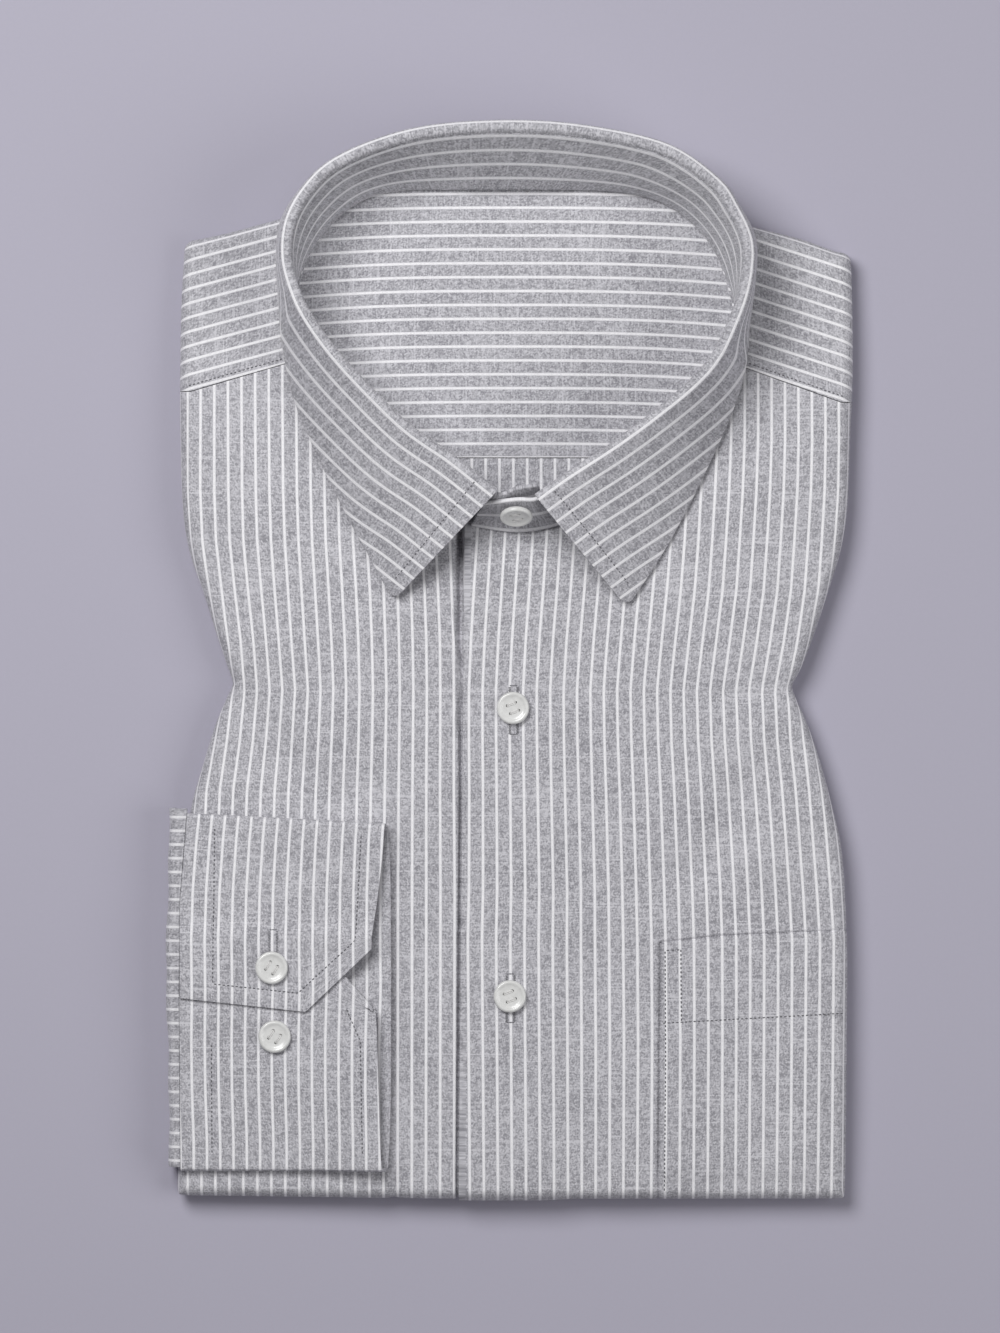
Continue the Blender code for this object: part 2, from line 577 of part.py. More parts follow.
def make_core(material):
    """The hidden back, sides and sleeves as one layered solid, with the hollow inside the neck cut out."""
    across = np.linspace(0, 1, CORE_COLUMNS)

    def x_at(y):
        left, right = body_at(y)[:2]
        return left + FOLD_REACH + across * (right - left - 2 * FOLD_REACH)

    low = bottom_base(x_at(BOTTOM_ROW_Y))
    high = on_line(SHOULDER_FOLD, x_at(SHOULDER_ROW_Y)) - FOLD_REACH
    rows = np.array([*SIDE_ROWS, *CORE_SHOULDER_ROWS])
    shares = [(np.append(rows, high[end]) - low[end]) / (high[end] - low[end]) for end in (0, -1)]
    plan = [np.column_stack([x_at(low), low])]
    for left_share, right_share in zip(*shares):
        y = low + (left_share + (right_share - left_share) * across) * (high - low)
        plan.append(np.column_stack([x_at(y), y]))
    plan = np.array(plan)
    height = body_height(plan[..., 0], plan[..., 1]) - LAYER
    grid = np.concatenate([plan, height[..., None]], axis=2)
    numbers = np.arange(height.size).reshape(height.shape)
    around = [numbers[0, :-1], numbers[:-1, -1], numbers[-1, :0:-1], numbers[:0:-1, 0]]
    sides = ((0.0, -1.0), (1.0, 0.0), (0.0, 1.0), (-1.0, 0.0))
    loop = np.concatenate(around)
    base = grid.reshape(-1, 3)[loop, :2]
    closed = np.vstack([base[-1:], base, base[:1]])
    outward = right_of(closed)[1:-1]
    starts = np.cumsum([0] + [len(part) for part in around[:-1]])
    corners = {start: (sides[k - 1], sides[k]) for k, start in enumerate(starts)}
    base, outward, above = rim_with_corners(base, outward, loop.tolist(), corners)
    cloth_height = body_height(base[:, 0], base[:, 1])
    points = [grid.reshape(-1, 3)]
    faces = grid_faces(numbers)
    for reach, share in CORE_EDGE:
        start = sum(map(len, points))
        points.append(np.column_stack([base + outward * reach, cloth_height * share]))
        below = list(range(start, start + len(base)))
        faces += strip_faces(below + below[:1], above + above[:1])
        above = below
    faces.append(above[::-1])
    core = make_object("folded_core", np.vstack(points), faces, material)
    ring = neck_ring(PIT_INSET)
    low = np.column_stack([ring, np.full(len(ring), PIT_FLOOR)])
    high = np.column_stack([ring, np.full(len(ring), PIT_TOP)])
    count = len(ring)
    foot, head = list(range(count)), list(range(count, 2 * count))
    pit_faces = strip_faces(foot + foot[:1], head + head[:1]) + [foot[::-1], head]
    pit = make_object("neck_hollow_cutter", np.vstack([low, high]), pit_faces, material)
    pit.hide_render = True
    pit.display_type = "WIRE"
    cut = core.modifiers.new("Neck hollow", "BOOLEAN")
    cut.operation = "DIFFERENCE"
    cut.object = pit


def make_inside(material):
    """The inner yoke and the top of the back, seen through the neck."""
    ring = neck_ring(INNER_INSET)
    low, high = ring[:, 1].min() + INNER_END_GAP, ring[:, 1].max() - INNER_END_GAP
    seam = INNER_YOKE_SEAM_Y
    pieces = {
        "yoke_inner": np.append(np.linspace(seam + SEAM_GAP / 2, high - 6, 8), [high - 3, high - 1, high]),
        "back_panel": np.linspace(low, seam - SEAM_GAP / 2, 4),
    }
    for name, rows in pieces.items():
        grid = []
        for y in rows:
            crossing = []
            for start, end in zip(ring, np.roll(ring, -1, axis=0)):
                if (start[1] > y) != (end[1] > y):
                    share = (y - start[1]) / (end[1] - start[1])
                    crossing.append(start[0] + share * (end[0] - start[0]))
            x = np.linspace(min(crossing), max(crossing), INNER_COLUMNS)
            rise = INNER_RISE * ramp(y, INNER_RISE_Y, high)
            grid.append(np.column_stack([x, np.full(len(x), y), np.full(len(x), INNER_REST + rise)]))
        make_cloth_grid(name, grid, material)


# ---------------------------------------------------------------- the sleeve and its cuff


def make_cuff(material):
    stages = np.array(CUFF_PATH)
    grid = []
    for share in CUFF_SHARES:
        seam_x = on_line(CUFF_SEAM, stages[:, 0])
        x = seam_x + share * (stages[:, 2] - seam_x)
        to_top = ramp(stages[:, 0], CUFF_PATH[0][0], CUFF_FOLD_Y)
        y = stages[:, 0] - CUFF_TOP_DROP * share * to_top
        under_y = on_line(UNDER_FLAP_EDGE, x[0])
        over_y = on_line(OVER_FLAP_EDGE, x[-1])
        rows = [(x[0], y[1] + step * (under_y - y[1]), stages[0, 1]) for step in UNDER_FLAP_STEPS]
        rows += list(zip(x[1:], y[1:], stages[1:, 1]))
        rows += [(x[-1], y[-1] + step * (over_y - y[-1]), stages[-1, 1]) for step in OVER_FLAP_STEPS]
        grid.append(rows)
    grid = np.array(grid)
    flat_x = np.clip(grid[..., 0], body_at(CUFF_FOLD_Y)[0] + CUFF_SIDE_INSET, None)
    grid[..., 2] += body_height(flat_x, grid[..., 1])
    make_cloth_grid("cuff", grid, material)


def make_sleeve(material):
    path = spline(SLEEVE_PATH, np.linspace(0, len(SLEEVE_PATH) - 1, 2 * len(SLEEVE_PATH) - 1))
    grid = []
    for y in np.linspace(*SLEEVE_ENDS, SLEEVE_STEPS):
        stretch = (on_line(CUFF_SEAM, y) - SLEEVE_GAP - SLEEVE_SHOULDER_X) / (path[0, 0] - SLEEVE_SHOULDER_X)
        x = SLEEVE_SHOULDER_X + (path[:, 0] - SLEEVE_SHOULDER_X) * np.where(path[:, 0] > SLEEVE_SHOULDER_X, stretch, 1.0)
        grid.append(np.column_stack([x, np.full(len(x), y), path[:, 1]]))
    make_cloth_grid("sleeve", np.array(grid), material, SLEEVE_CLOTH)


# ---------------------------------------------------------------- buttons


def button_mesh(material):
    """A four-hole button standing on z = 0, as a mesh that all the buttons share."""
    turns = np.linspace(0, 2 * math.pi, BUTTON_SEGMENTS, endpoint=False)
    rings = [
        np.column_stack([radius * np.cos(turns), radius * np.sin(turns), np.full(BUTTON_SEGMENTS, height)])
        for radius, height in BUTTON_PROFILE
    ]
    faces = []
    numbers = [list(range(i * BUTTON_SEGMENTS, (i + 1) * BUTTON_SEGMENTS)) for i in range(len(rings))]
    for lower, upper in zip(numbers, numbers[1:]):
        faces += strip_faces(lower + lower[:1], upper + upper[:1])
    faces += [numbers[0][::-1], numbers[-1]]
    blank = make_object("button_blank", np.vstack(rings), faces, material)
    points, hole_faces = [], []
    for corner in range(4):
        angle = math.pi / 4 + corner * math.pi / 2
        middle = HOLE_SPREAD * np.array([math.cos(angle), math.sin(angle)])
        round_hole = np.linspace(0, 2 * math.pi, HOLE_SEGMENTS, endpoint=False)
        edge = middle + HOLE_RADIUS * np.column_stack([np.cos(round_hole), np.sin(round_hole)])
        start = 2 * HOLE_SEGMENTS * corner
        low = list(range(start, start + HOLE_SEGMENTS))
        high = list(range(start + HOLE_SEGMENTS, start + 2 * HOLE_SEGMENTS))
        points += [np.column_stack([edge, np.full(len(edge), z)]) for z in DRILL]
        hole_faces += strip_faces(low + low[:1], high + high[:1]) + [low[::-1], high]
    drill = make_object("button_drill", np.vstack(points), hole_faces, material)
    drill.hide_render = True
    cut = blank.modifiers.new("Holes", "BOOLEAN")
    cut.operation = "DIFFERENCE"
    cut.object = drill
    bpy.context.view_layer.update()
    shared = bpy.data.meshes.new_from_object(blank.evaluated_get(bpy.context.evaluated_depsgraph_get()))
    shared.name = "four_hole_button"
    for helper in (blank, drill):
        bpy.data.objects.remove(helper)
    return shared


def place_button(name, mesh, centre, tilt=0.0, turn=BUTTON_TURN["front"]):
    made = bpy.data.objects.new(name, mesh)
    made.location = [value * MM for value in centre]
    made.rotation_euler = (tilt, 0.0, turn)
    made.rotation_mode = "XYZ"
    bpy.context.scene.collection.objects.link(made)


def make_buttons(material):
    mesh = button_mesh(material)
    for name, (x, y) in FRONT_BUTTONS.items():
        place_button(name, mesh, (x, y, body_height(x, y) + lap(x) + SEAM_GAP))
    for name, (x, y, height) in CUFF_BUTTONS.items():
        place_button(name, mesh, (x, y, body_height(x, y) + height + SEAM_GAP), turn=BUTTON_TURN["cuff"])
    foot_row, top_row = (np.array(row) for row in STAND_ENDS["outer"])
    foot = np.array([*foot_row[:2], cloth_under(foot_row[0], foot_row[1]) + SEAM_GAP])
    top = foot_row[2:]
    tilt = math.atan2(top[2] - foot[2], top[1] - foot[1])
    face = np.array([0.0, -math.sin(tilt), math.cos(tilt)])
    centre = foot + (top - foot) * COLLAR_BUTTON_SHARE + face * (BAND_CLOTH + COLLAR_BUTTON_GAP)
    place_button("button_collar", mesh, centre, tilt=tilt)


def main():
    for old in list(bpy.data.objects):
        bpy.data.objects.remove(old)
    cloth = make_material("shirt_cloth", CLOTH_COLOUR, 0.9)
    make_core(make_material("hidden_cloth", HIDDEN_COLOUR, 0.9))
    make_fronts(cloth)
    make_yoke(cloth)
    make_inside(cloth)
    make_collar(cloth)
    make_cuff(cloth)
    make_sleeve(cloth)
    make_buttons(make_material("button_pearl", BUTTON_COLOUR, 0.25))


main()
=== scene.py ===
"""Dresses the folded dress shirt: cloth shells with woven stripes, stitching, buttonholes, buttons and the stage."""

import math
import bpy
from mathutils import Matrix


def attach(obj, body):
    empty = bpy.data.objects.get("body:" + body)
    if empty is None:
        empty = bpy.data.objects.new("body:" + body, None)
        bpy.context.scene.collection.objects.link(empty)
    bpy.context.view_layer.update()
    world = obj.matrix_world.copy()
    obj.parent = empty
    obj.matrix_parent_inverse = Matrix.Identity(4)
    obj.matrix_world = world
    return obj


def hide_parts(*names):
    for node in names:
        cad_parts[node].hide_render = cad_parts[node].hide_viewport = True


bl_info = {
    "name": "Folded dress shirt",
    "version": (1, 0, 0),
    "blender": (4, 5, 0),
    "location": "3D View > Sidebar > Shirt",
    "description": "Makes the cloth, sewing and buttons of a folded dress shirt around its solids",
    "category": "Object",
}

import bmesh
import bpy
import numpy as np

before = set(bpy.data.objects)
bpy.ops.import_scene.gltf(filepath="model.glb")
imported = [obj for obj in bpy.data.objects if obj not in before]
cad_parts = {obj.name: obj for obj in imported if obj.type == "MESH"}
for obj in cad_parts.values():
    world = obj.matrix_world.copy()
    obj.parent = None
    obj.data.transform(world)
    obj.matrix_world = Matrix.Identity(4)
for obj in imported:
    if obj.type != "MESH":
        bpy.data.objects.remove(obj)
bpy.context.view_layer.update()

# ---- sizes, in millimetres

MM = 0.001  # metres in a millimetre
SEAM_GAP = 0.3  # between two pieces that touch
LAYER = 1.5  # one layer of cloth laid on another
CREASE_ANGLE = math.radians(50)  # an edge turned more than this is sharp

# The body. Columns: y, left fold x, right fold x, height at the sides, height in the middle.
BODY_SECTIONS = (
    (-190, -117.2, 117.2, 12, 13.5), (-165, -116.5, 117.6, 13, 15.2), (-130, -115.4, 117.9, 13.5, 16),
    (-100, -114.6, 118, 13.5, 16.3), (-70, -113.8, 116.5, 13.5, 16.6), (-53, -112.4, 113, 13.5, 16.8),
    (-38, -108.2, 109, 13.4, 17), (-25, -104.2, 104.6, 13.3, 17), (-15, -100, 100.2, 13.2, 17),
    (-8, -97.6, 98.8, 13.2, 17), (1, -100.2, 102.8, 13.2, 17), (12, -103.9, 107, 13.3, 17),
    (26, -108.3, 111.6, 13.4, 17), (40, -113.1, 115.9, 13.5, 16.8), (55, -115.3, 118.2, 13.5, 16.4),
    (80, -116.1, 119.2, 13.2, 15.4), (100, -116.2, 120, 12.8, 14), (125, -115.8, 119.9, 12, 12),
    (150, -114.4, 119.2, 11, 10.2), (172, -114, 119, 9.6, 9.4),
)
FOLD_REACH = 4  # a folded edge reaches out this far past the flat top
FOLD_SHARE = 0.45  # share of the height that its turn takes
FOLD_TURN = np.linspace(0, 125, 15)[1:]  # degrees from straight up, down the folded edge
LIFT_REACH = 0.4  # a cloth that lies this much higher also folds further out, by this share of it
CORNER_SQUARENESS = 0.7  # of the folded corners: 0 is round and 1 is square
BOTTOM_ROW_Y = -186  # about where the flat top ends before the bottom fold
YOKE_CORNERS_X = (-110, 114)  # where the side folds meet the shoulders' fold
BOTTOM_FOLD = ((-117, -187.8), (-19, -189), (118, -188.9))  # x, y
# Columns: x, y, from the left corner to the right one.
SHOULDER_FOLD = (
    (-116, 146.4), (-98, 150.4), (-80.3, 155.2), (-42, 166.5), (0, 170.5), (45, 166.5), (83, 152.8),
    (101, 148.2), (120, 141.2),
)

# The collar, from the left front round the back. Columns: x and y of the stand's seam; x, y and z of the
# crest; x, y and z of the leaf's edge; length of the leaf inside the stand.
COLLAR_SECTIONS = (
    (15.8, 48.6, 9.3, 55.9, 40, 40.7, 18.5, 18.6, 2.5), (27.7, 56.6, 22.1, 64.6, 41.5, 52.8, 36.9, 18.2, 3),
    (41.7, 67.1, 36.6, 74.2, 43, 61.9, 53.3, 18, 3), (56.5, 79.8, 49.8, 84.2, 44, 70.3, 70.5, 17.6, 3),
    (67.7, 92.7, 63.2, 95.6, 45, 77.7, 87.3, 16.8, 3),
    (74.3, 105.4, 71.5, 105.6, 45.5, 82.3, 102.4, 15.2, 3),
    (77.8, 120.1, 78.6, 120.8, 45.5, 83.8, 120, 13.4, 3),
    (75.4, 132, 81.8, 133.2, 45.5, 84.2, 134.4, 12.4, 3),
    (69.4, 145, 81.9, 145.2, 45, 84.3, 147.4, 11.4, 3), (60.7, 154.8, 76.8, 156.6, 44.5, 78.4, 158.6, 8, 3),
    (48.7, 161.4, 70.2, 165.8, 43.5, 71.2, 167.4, 5, 3),
    (33.3, 163.9, 53.3, 177.2, 42.5, 53.5, 178.6, 4, 3), (14.4, 164.3, 26.6, 183.3, 42, 26.4, 184.5, 4, 3),
    (-3.8, 164.3, 0.7, 185.2, 42, 0.7, 186.6, 4, 3), (-22.8, 164.3, -26.7, 183.6, 42, -26.4, 185.2, 4, 3),
    (-38.2, 164.1, -46.1, 178.8, 42.5, -45.7, 180.6, 4, 3),
    (-49.1, 161.8, -62, 171.3, 43.5, -62.6, 172.4, 5, 3),
    (-57.8, 156.5, -71.2, 162.1, 44.5, -72.4, 163.8, 8, 3),
    (-64.9, 149.5, -76.6, 152, 45.5, -79.6, 153.4, 11.6, 3),
    (-70.8, 140.4, -78, 140.5, 46, -81.3, 141.4, 12.6, 3),
    (-74.3, 129.9, -75.7, 129.4, 46, -81.5, 124.2, 13.2, 3),
    (-74.3, 118.7, -70.2, 118, 46, -79.9, 108.1, 14.2, 3),
    (-69.8, 106.8, -60.9, 105.2, 45.5, -75.6, 89.8, 15.6, 3),
    (-59.9, 94.1, -48.8, 92.1, 44.5, -67.5, 70.8, 17, 3),
    (-45.2, 79.8, -35.7, 79.7, 43.5, -58.4, 52.3, 17.8, 3),
    (-29.1, 64.7, -20.8, 69.4, 42.5, -50, 36.9, 18.2, 3),
    (-9.9, 50.1, -5.9, 57.6, 41, -41.3, 20.8, 18.6, 2.5),
)
SECTION_COUNT = len(COLLAR_SECTIONS) - 1  # spaces between the sections
YOKE_SEAM_SECTIONS = (5, 22)  # the rows of the collar's table where the shoulder seams end
STAND_ENDS = {  # seam x, seam y, top x, top y, top z of the stand's two ends, which pass each other in front
    "outer": ((1.8, 45.7, 1.8, 56.8, 36.5), (-14, 48, -9.8, 55.4, 33.6)),
    "inner": ((1.8, 48.4, 1.8, 60.6, 36.4), (12.5, 50.8, 9.5, 61.7, 35.4)),
}
STAND_GAP = 0.5  # under the stand's curved foot
FOOT_OUT = 0.7  # how far outside its seam line the stand's foot is drawn
LEG_SHARE = 0.4  # of the solid's inner leg: the seam is drawn just under the leaf's roll
ROLL = 2.2  # radius of the leaf's roll over the crest
LEAF_BULGE = 1.2
LEAF_LEAN = 0.35  # how far the leaf's outer face leans outwards from straight up
TIP_RADIUS = 4  # of the leaf's rounded tips
CREST_OVERRUN = (4, 8)  # the crest's line goes on this far, straight as over this many of its last steps
NEAR_TIP = (0, 0.01, 0.025, 0.045, 0.07, 0.1, 0.14, 0.19)  # the leaf's columns there, in sections
LEG_ROWS, ROLL_ROWS, OUTER_ROWS = 7, 16, 33  # of the leaf, from its seam to its edge
LEVEL_ROW = LEG_ROWS + ROLL_ROWS // 2  # the row on top of the roll

# The fronts, and the yokes and back round the neck.
CLOSURE_X = -16.6
CLOSURE_SLOPE = 0.009
UNDER_EDGE_X = 9  # where the hidden right front ends
LAP_RAMP = (10.5, 24)  # over these x the left front comes down beside the right front's edge
LAP_MARGIN = 4  # what lies on the closure is already this high so far beside it
SIDE_SEAM_Y = (94.3, 90.5)  # where the shoulder seams reach the side folds, wearer's right and left
SEAM_ROUNDS = 30  # steps to find where a slanted column meets the curved seam
ROW_TILT = (0, -34)  # how the rows drop towards the closure, wearer's right and left
WAIST_ROWS = (0.035, 0.4, 0.5)  # crowding of the rows at the waist, where it starts and over what share
GROOVE_Y = (-50, 40)  # the closure's groove grows up the front from here to here
CLOSURE_GROOVE = ((0.45, 0.9), (0.55, 0.9), (2.3, 2))  # offset, width and depth, and what each grows by
UNDER_DROP = (0.9, 0.2, 1.5)  # how far the right front lies lower beside it, and from where to where
CUFF_GROOVE = (-41, 1.9, 1.2)  # x, width and depth of the groove beside the cuff
CUFF_GROOVE_Y = (-46, -60)
POCKET_SHARE = 0.535  # the pocket's edge is the left front's column here
POCKET_TOP_Y = -95  # and the row here
POCKET_FRONT = (136, 286)  # size of the left front, to turn shares of it into lengths
POCKET_BED = 1.25  # how far the left front is pressed down under the pocket
POCKET_BED_RAMPS = ((0.004, 0.03), (-0.004, -0.02))  # in shares from its edge, and in rows from its mouth
POCKET_GROOVES = ((0.45, 0.6, 0.9), (-0.35, 0.5, 0.8))  # beside it and over its mouth: offset, width, depth
POCKET_GROOVE_ENDS = (0.002, -0.003)  # in rows past its mouth, and in shares past its edge
POCKET_FLUSH = ((0.95, 1), (0.03, 0), 0.9)  # over these shares and rows it loses so much of its layer
YOKE_BACK_Y = 150  # behind here the yoke runs between the neck and the shoulders' fold
YOKE_LEAST_WIDTH = 0.8
YOKE_COLUMNS = (24, 70, 9)  # along each side, along the shoulders, and round each corner
YOKE_NEAREST = 0.85  # how much the columns' start goes by their nearest place on the neck
YOKE_NEAREST_RAMPS = ((0.03, 0.2), (0.97, 0.8))  # and over which of them that begins, from each end
YOKE_LEVEL_X = (-45, 45)  # between these the yoke's stripes turn from one seam's slope to the other's
NECK_BACK_OUT = 0.9  # behind the neck the body's edge stays this far outside the stand's seam
NECK_BACK_Y = (120, 150)
INNER_YOKE_SEAM_Y = 71.2
INNER_OUT = 1.2  # the inside pieces reach this far past the stand's seam
INNER_REST = 7  # top of the cloth at the pit's floor
INNER_RISE = 0.7  # and how much higher it lies at the back
INNER_RISE_Y = 120
INNER_END_GAP = 0.3  # the inside pieces end this far before the ring's own ends
INNER_CURL = (0.8, 5)  # share of the depth that their edge curls up, and from how far away

# The cuff: y and x of its edge at the sleeve.
CUFF_SEAM = ((-180, -115.6), (-115, -116), (-84, -115.7), (-53, -113.2))
# Its section, round the tube from one flap's seam to the other's. Columns: y, height, x of the hand edge.
CUFF_PATH = (
    (-98, 3.3, -48.5), (-124, 3.3, -47.2), (-150, 3.3, -46.3), (-172, 3.3, -45.6), (-177.2, 3.3, -45),
    (-178.3, 2.8, -44.7), (-178.7, 1.8, -44.2), (-178.3, 0.8, -43.6), (-177.2, 0.3, -43),
    (-174.7, 0.3, -42.9), (-160, 0.3, -42.2), (-130, 0.3, -42), (-100, 0.3, -42), (-72, 0.3, -42.2),
    (-57.5, 0.3, -42.9), (-54.9, 0.3, -43), (-53.8, 0.8, -43.4), (-53.4, 1.8, -43.8), (-53.8, 2.8, -44),
    (-54.9, 3.3, -44.2), (-57.5, 3.3, -44.4), (-70, 3.3, -45.4), (-84, 3.3, -46.9), (-91, 3.5, -47.9),
    (-96.5, 4.9, -48.7),
)
CUFF_TOP_DROP = 3.5  # how much lower the top fold lies at the hand edge
UNDER_FLAP_EDGE = ((-116, -98), (-69, -98), (-47.2, -122.3))  # x, y of the hidden flap's free edge
OVER_FLAP_EDGE = ((-116, -118), (-71.8, -122.7), (-48.7, -100.6))
CUFF_FOLD_Y = -55  # from here up the whole fold drops with its edge
OVER_FLAP_STEPS = (0.33, 0.66, 1)
UNDER_FLAP_STEPS = (1, 0.5)
CUFF_SIDE_INSET = 0.5  # past here the cuff stays as high as over the front's side
CUFF_LOFT_RAMP = (0.3, 3.3)  # from the lower layer's height to the upper one's
CUFF_LOFT = (0.8, 2.2, -82, -48)  # the upper layers' least lift, what it grows by, and over which x
HAND_LIFT = (1.3, -66, -43)  # all the layers' lift, and over which x it begins
CUFF_TOP = ((-180, 3.3), (-125, 3.3), (-119, 4.9), (-96.5, 4.9), (-91, 3.5), (-84, 3.3), (-50, 3.3))  # y, height
SLEEVE_ENDS = (-51.8, -177.4)
SLEEVE_PATH = ((-116.4, 16), (-118.2, 15.2), (-119.5, 13), (-120, 9), (-119.8, 5), (-119, 1.6))  # x, z
SLEEVE_GAP = 0.3  # from the sleeve's strip to the cuff's edge
SLEEVE_FACE = (-116.8, -119)  # over these x of its profile the swell begins
SLEEVE_FLAT_END = -119.6  # up to here the profile follows the cuff's edge
SLEEVE_SWELL = (1.1, -108, 26)  # how far the strip swells out, at which y and over what width
SLEEVE_WAVE = (0.25, 4.1)  # its unevenness, and the length that goes with it

# The folded layers' edges from the top down: share of the height, and how far the layer above it reaches.
LAYER_EDGES = ((0.355, 2.7), (0.27, 3.5), (0.185, 2.9), (0.095, 3.6), (0, 3.1))
# The rows above them, hidden in the stack: share of the height, and how far out.
HIDDEN_ROWS = ((0.05, -9), (0.5, -8), (0.62, 0), (0.6, 1.6), (0.42, 1.6))
LEAST_BULGE = 1.5
LAYER_ROWS = 9
LAYER_WAVES = (0.45, 0.25)  # height of the long and the short waves in a layer's reach
LOW_SIDE_MIDDLE = 51  # columns from the start of the loop to the middle of its lower side

FRONT_BUTTONS = {"button_front_upper": (0.7, -16.6), "button_front_lower": (-0.4, -117.4)}  # x, y
CUFF_BUTTONS = {"button_cuff_upper": (-83.6, -107.3, 4.9), "button_cuff_lower": (-82.6, -131.4, 3.3)}
COLLAR_BUTTON_SHARE = 0.7  # how far up the stand's end the collar button is
COLLAR_BUTTON_OUT = 2.8  # from a straight line up the stand's end, which curves out by 1.5
# Radius and height of an 18-line shirt button's turned section.
BUTTON_PROFILE = (
    (0, 0), (4.3, 0), (4.9, 0.15), (5.45, 0.6), (5.7, 1.2), (5.62, 1.75), (5.3, 2.12), (4.95, 2.25),
    (4.6, 2.2), (4.25, 2.02), (3.9, 1.85), (3.2, 1.72), (0, 1.66),
)
BUTTON_SEGMENTS = 64
HOLE_RADIUS = 0.56
HOLE_SPREAD = 2.1
HOLE_SEGMENTS = 16
DRILL_ENDS = (-1, 4)  # heights between which the pins that cut the holes run
QUARTERS = math.pi / 4 + np.arange(4) * math.pi / 2
BUTTON_TURN = {"front": 0.38, "cuff": 1.0}
THREAD_POINTS = 15
THREAD_RADIUS = 0.32
THREAD_RISE = (1.1, 0.55)  # height of the thread's ends, and of its middle above them

STITCH_SIZE = (1.05, 0.42, 0.34)  # long, wide and high
HOLE_STITCH_SIZE = (1.15, 0.42, 0.4)
STITCH_LIFT, HOLE_STITCH_LIFT = 0.05, 0.06  # a stitch's middle above the cloth
UP = (0.0, 0.0, 1.0)
BUTTONHOLE = (16.4, 1.35, 0.5)  # length, half width and pitch of its stitches
CUFF_BUTTONHOLE = (-83.1, -102.6)
SEAM_STITCH_OFFSET = (0, 1.9)  # from the shoulder seam to its row of stitches
SEAM_STITCH_INSET = 3  # the row ends this far before the side fold
LEAF_STITCH_ROWS = (22, 52)  # rows of the leaf that its front row of stitches runs down
LEAF_STITCH_SECTIONS = (0.42, 0.27)  # and sections of the collar
CUFF_STITCHES = (
    ((-103.6, -58.5), (-104.3, -113), (-74.4, -116.2), (-54.3, -97.6), (-52.3, -61)),
    ((-104.8, -134), (-104.6, -172.5)),
    ((-57.6, -121.5), (-52.6, -132.8), (-51.9, -172.5)),
)
POCKET_STITCHES = (
    ((52.9, -126.9), (116.5, -123.5)),
    ((53.9, -101.5), (54.1, -140), (53.7, -186)),
    ((59.4, -100.8), (59.6, -126.4)),
    ((53.9, -101.5), (59.4, -101.2)),
)

# ---- the cloth's own pattern and its creases

STRIPE_PITCH = 4.9
# Where the stripes run on the two fronts. Columns: y, then x of the stripes counted from the closure.
RIGHT_STRIPES = (19, 16, 12, 8, 4, 0)
RIGHT_STRIPE_ROWS = (
    (94.7, -113.5, -99.2, -80.1, -60.7, -41.4, -22), (59.7, -113.8, -99, -79.8, -60.5, -41.2, -21.8),
    (42.2, -112.9, -98.6, -79.2, -60.1, -41, -21.4), (24.7, -110.6, -96.8, -78.1, -59.1, -39.7, -20.8),
    (7.2, -108.4, -94.7, -76.9, -58.2, -39.2, -20.1), (-10.3, -106, -93.4, -75.6, -57.7, -38.9, -20),
    (-27.8, -108.5, -95, -76.7, -58.1, -39.1, -20), (-45.3, -111.4, -97.3, -77.9, -58.8, -39.3, -20),
    (-80.3, -113, -98.4, -78.8, -59.5, -39.6, -19.7), (-185.3, -113.4, -98.7, -79.1, -59.5, -39.7, -19.9),
)
LEFT_STRIPES = (0, 6, 12, 18, 24)
LEFT_STRIPE_ROWS = (
    (94.7, -10.5, 18.9, 48.3, 77.2, 105.4), (77.2, -10.6, 18.6, 47.9, 77.1, 105.5),
    (59.7, -10.9, 17.8, 46.9, 76.4, 105.1), (42.2, -11.9, 17.3, 46.3, 75.3, 104.1),
    (24.7, -13, 16.1, 44.8, 74.1, 102.9), (7.2, -14, 14.7, 43.2, 71.9, 100.4),
    (-10.3, -14.7, 13.7, 41.8, 69.7, 97.1), (-27.8, -14.7, 13.8, 42.1, 70.2, 97.9),
    (-45.3, -14.6, 14.1, 42.8, 71.4, 99.7), (-80.3, -14.7, 14.8, 43.8, 73.3, 102.3),
    (-97.8, -15.1, 14.6, 44.2, 73.9, 103.3), (-132.8, -14.8, 14.8, 44.5, 74, 103.1),
    (-185.3, -14.4, 15.1, 44.2, 73.8, 102.7),
)
LEFT_EDGE_NUMBER = -0.4  # the left front's stripes end here, where its edge is folded under
# The cuff's stripes. Columns: y, x of the first stripe, pitch.
CUFF_STRIPE_ROWS = (
    (-54.1, -109.1, 4.62), (-62.8, -110, 4.64), (-80.3, -111.3, 4.69), (-97.8, -111.8, 4.72),
    (-115.3, -111.6, 4.72), (-132.8, -111.8, 4.69), (-150.3, -111.6, 4.67), (-167.8, -111, 4.65),
)
SLEEVE_FIRST_STRIPE_Y = -54.8
SLEEVE_PITCH = 4.81
YOKE_PITCH = 4.85
INNER_PITCH = 4.873
INNER_FIRST_STRIPE_Y = 76.2
INNER_DROOP = 1.9  # how far the inner yoke's stripes drop at its sides
BACK_FIRST_STRIPE_X = -8.9
LEAF_HANGS = (0.3, 0.08)  # plan width against length, from where the leaf lies to where it hangs
CREST_SHIFT = 1.1  # the crest's stripe lies this far outside the crest, but on it at the wearer's left front
CREST_SHIFT_RAMPS = ((60, 110), (20, -10))  # over these y, or these x
INSIDE_STRETCH = 0.7  # stripes on the leaf inside the neck against the length of cloth
STAND_STRIPES = 4.02  # stripes up the stand
FRONT_BAND_STRIPES = 2.17  # stripes up the stand where its ends are lapped in front
FRONT_BAND = (75, 55)  # length from the stand's ends over which that begins
STAND_LAP = (42, 32)  # and over which each end's own shift begins
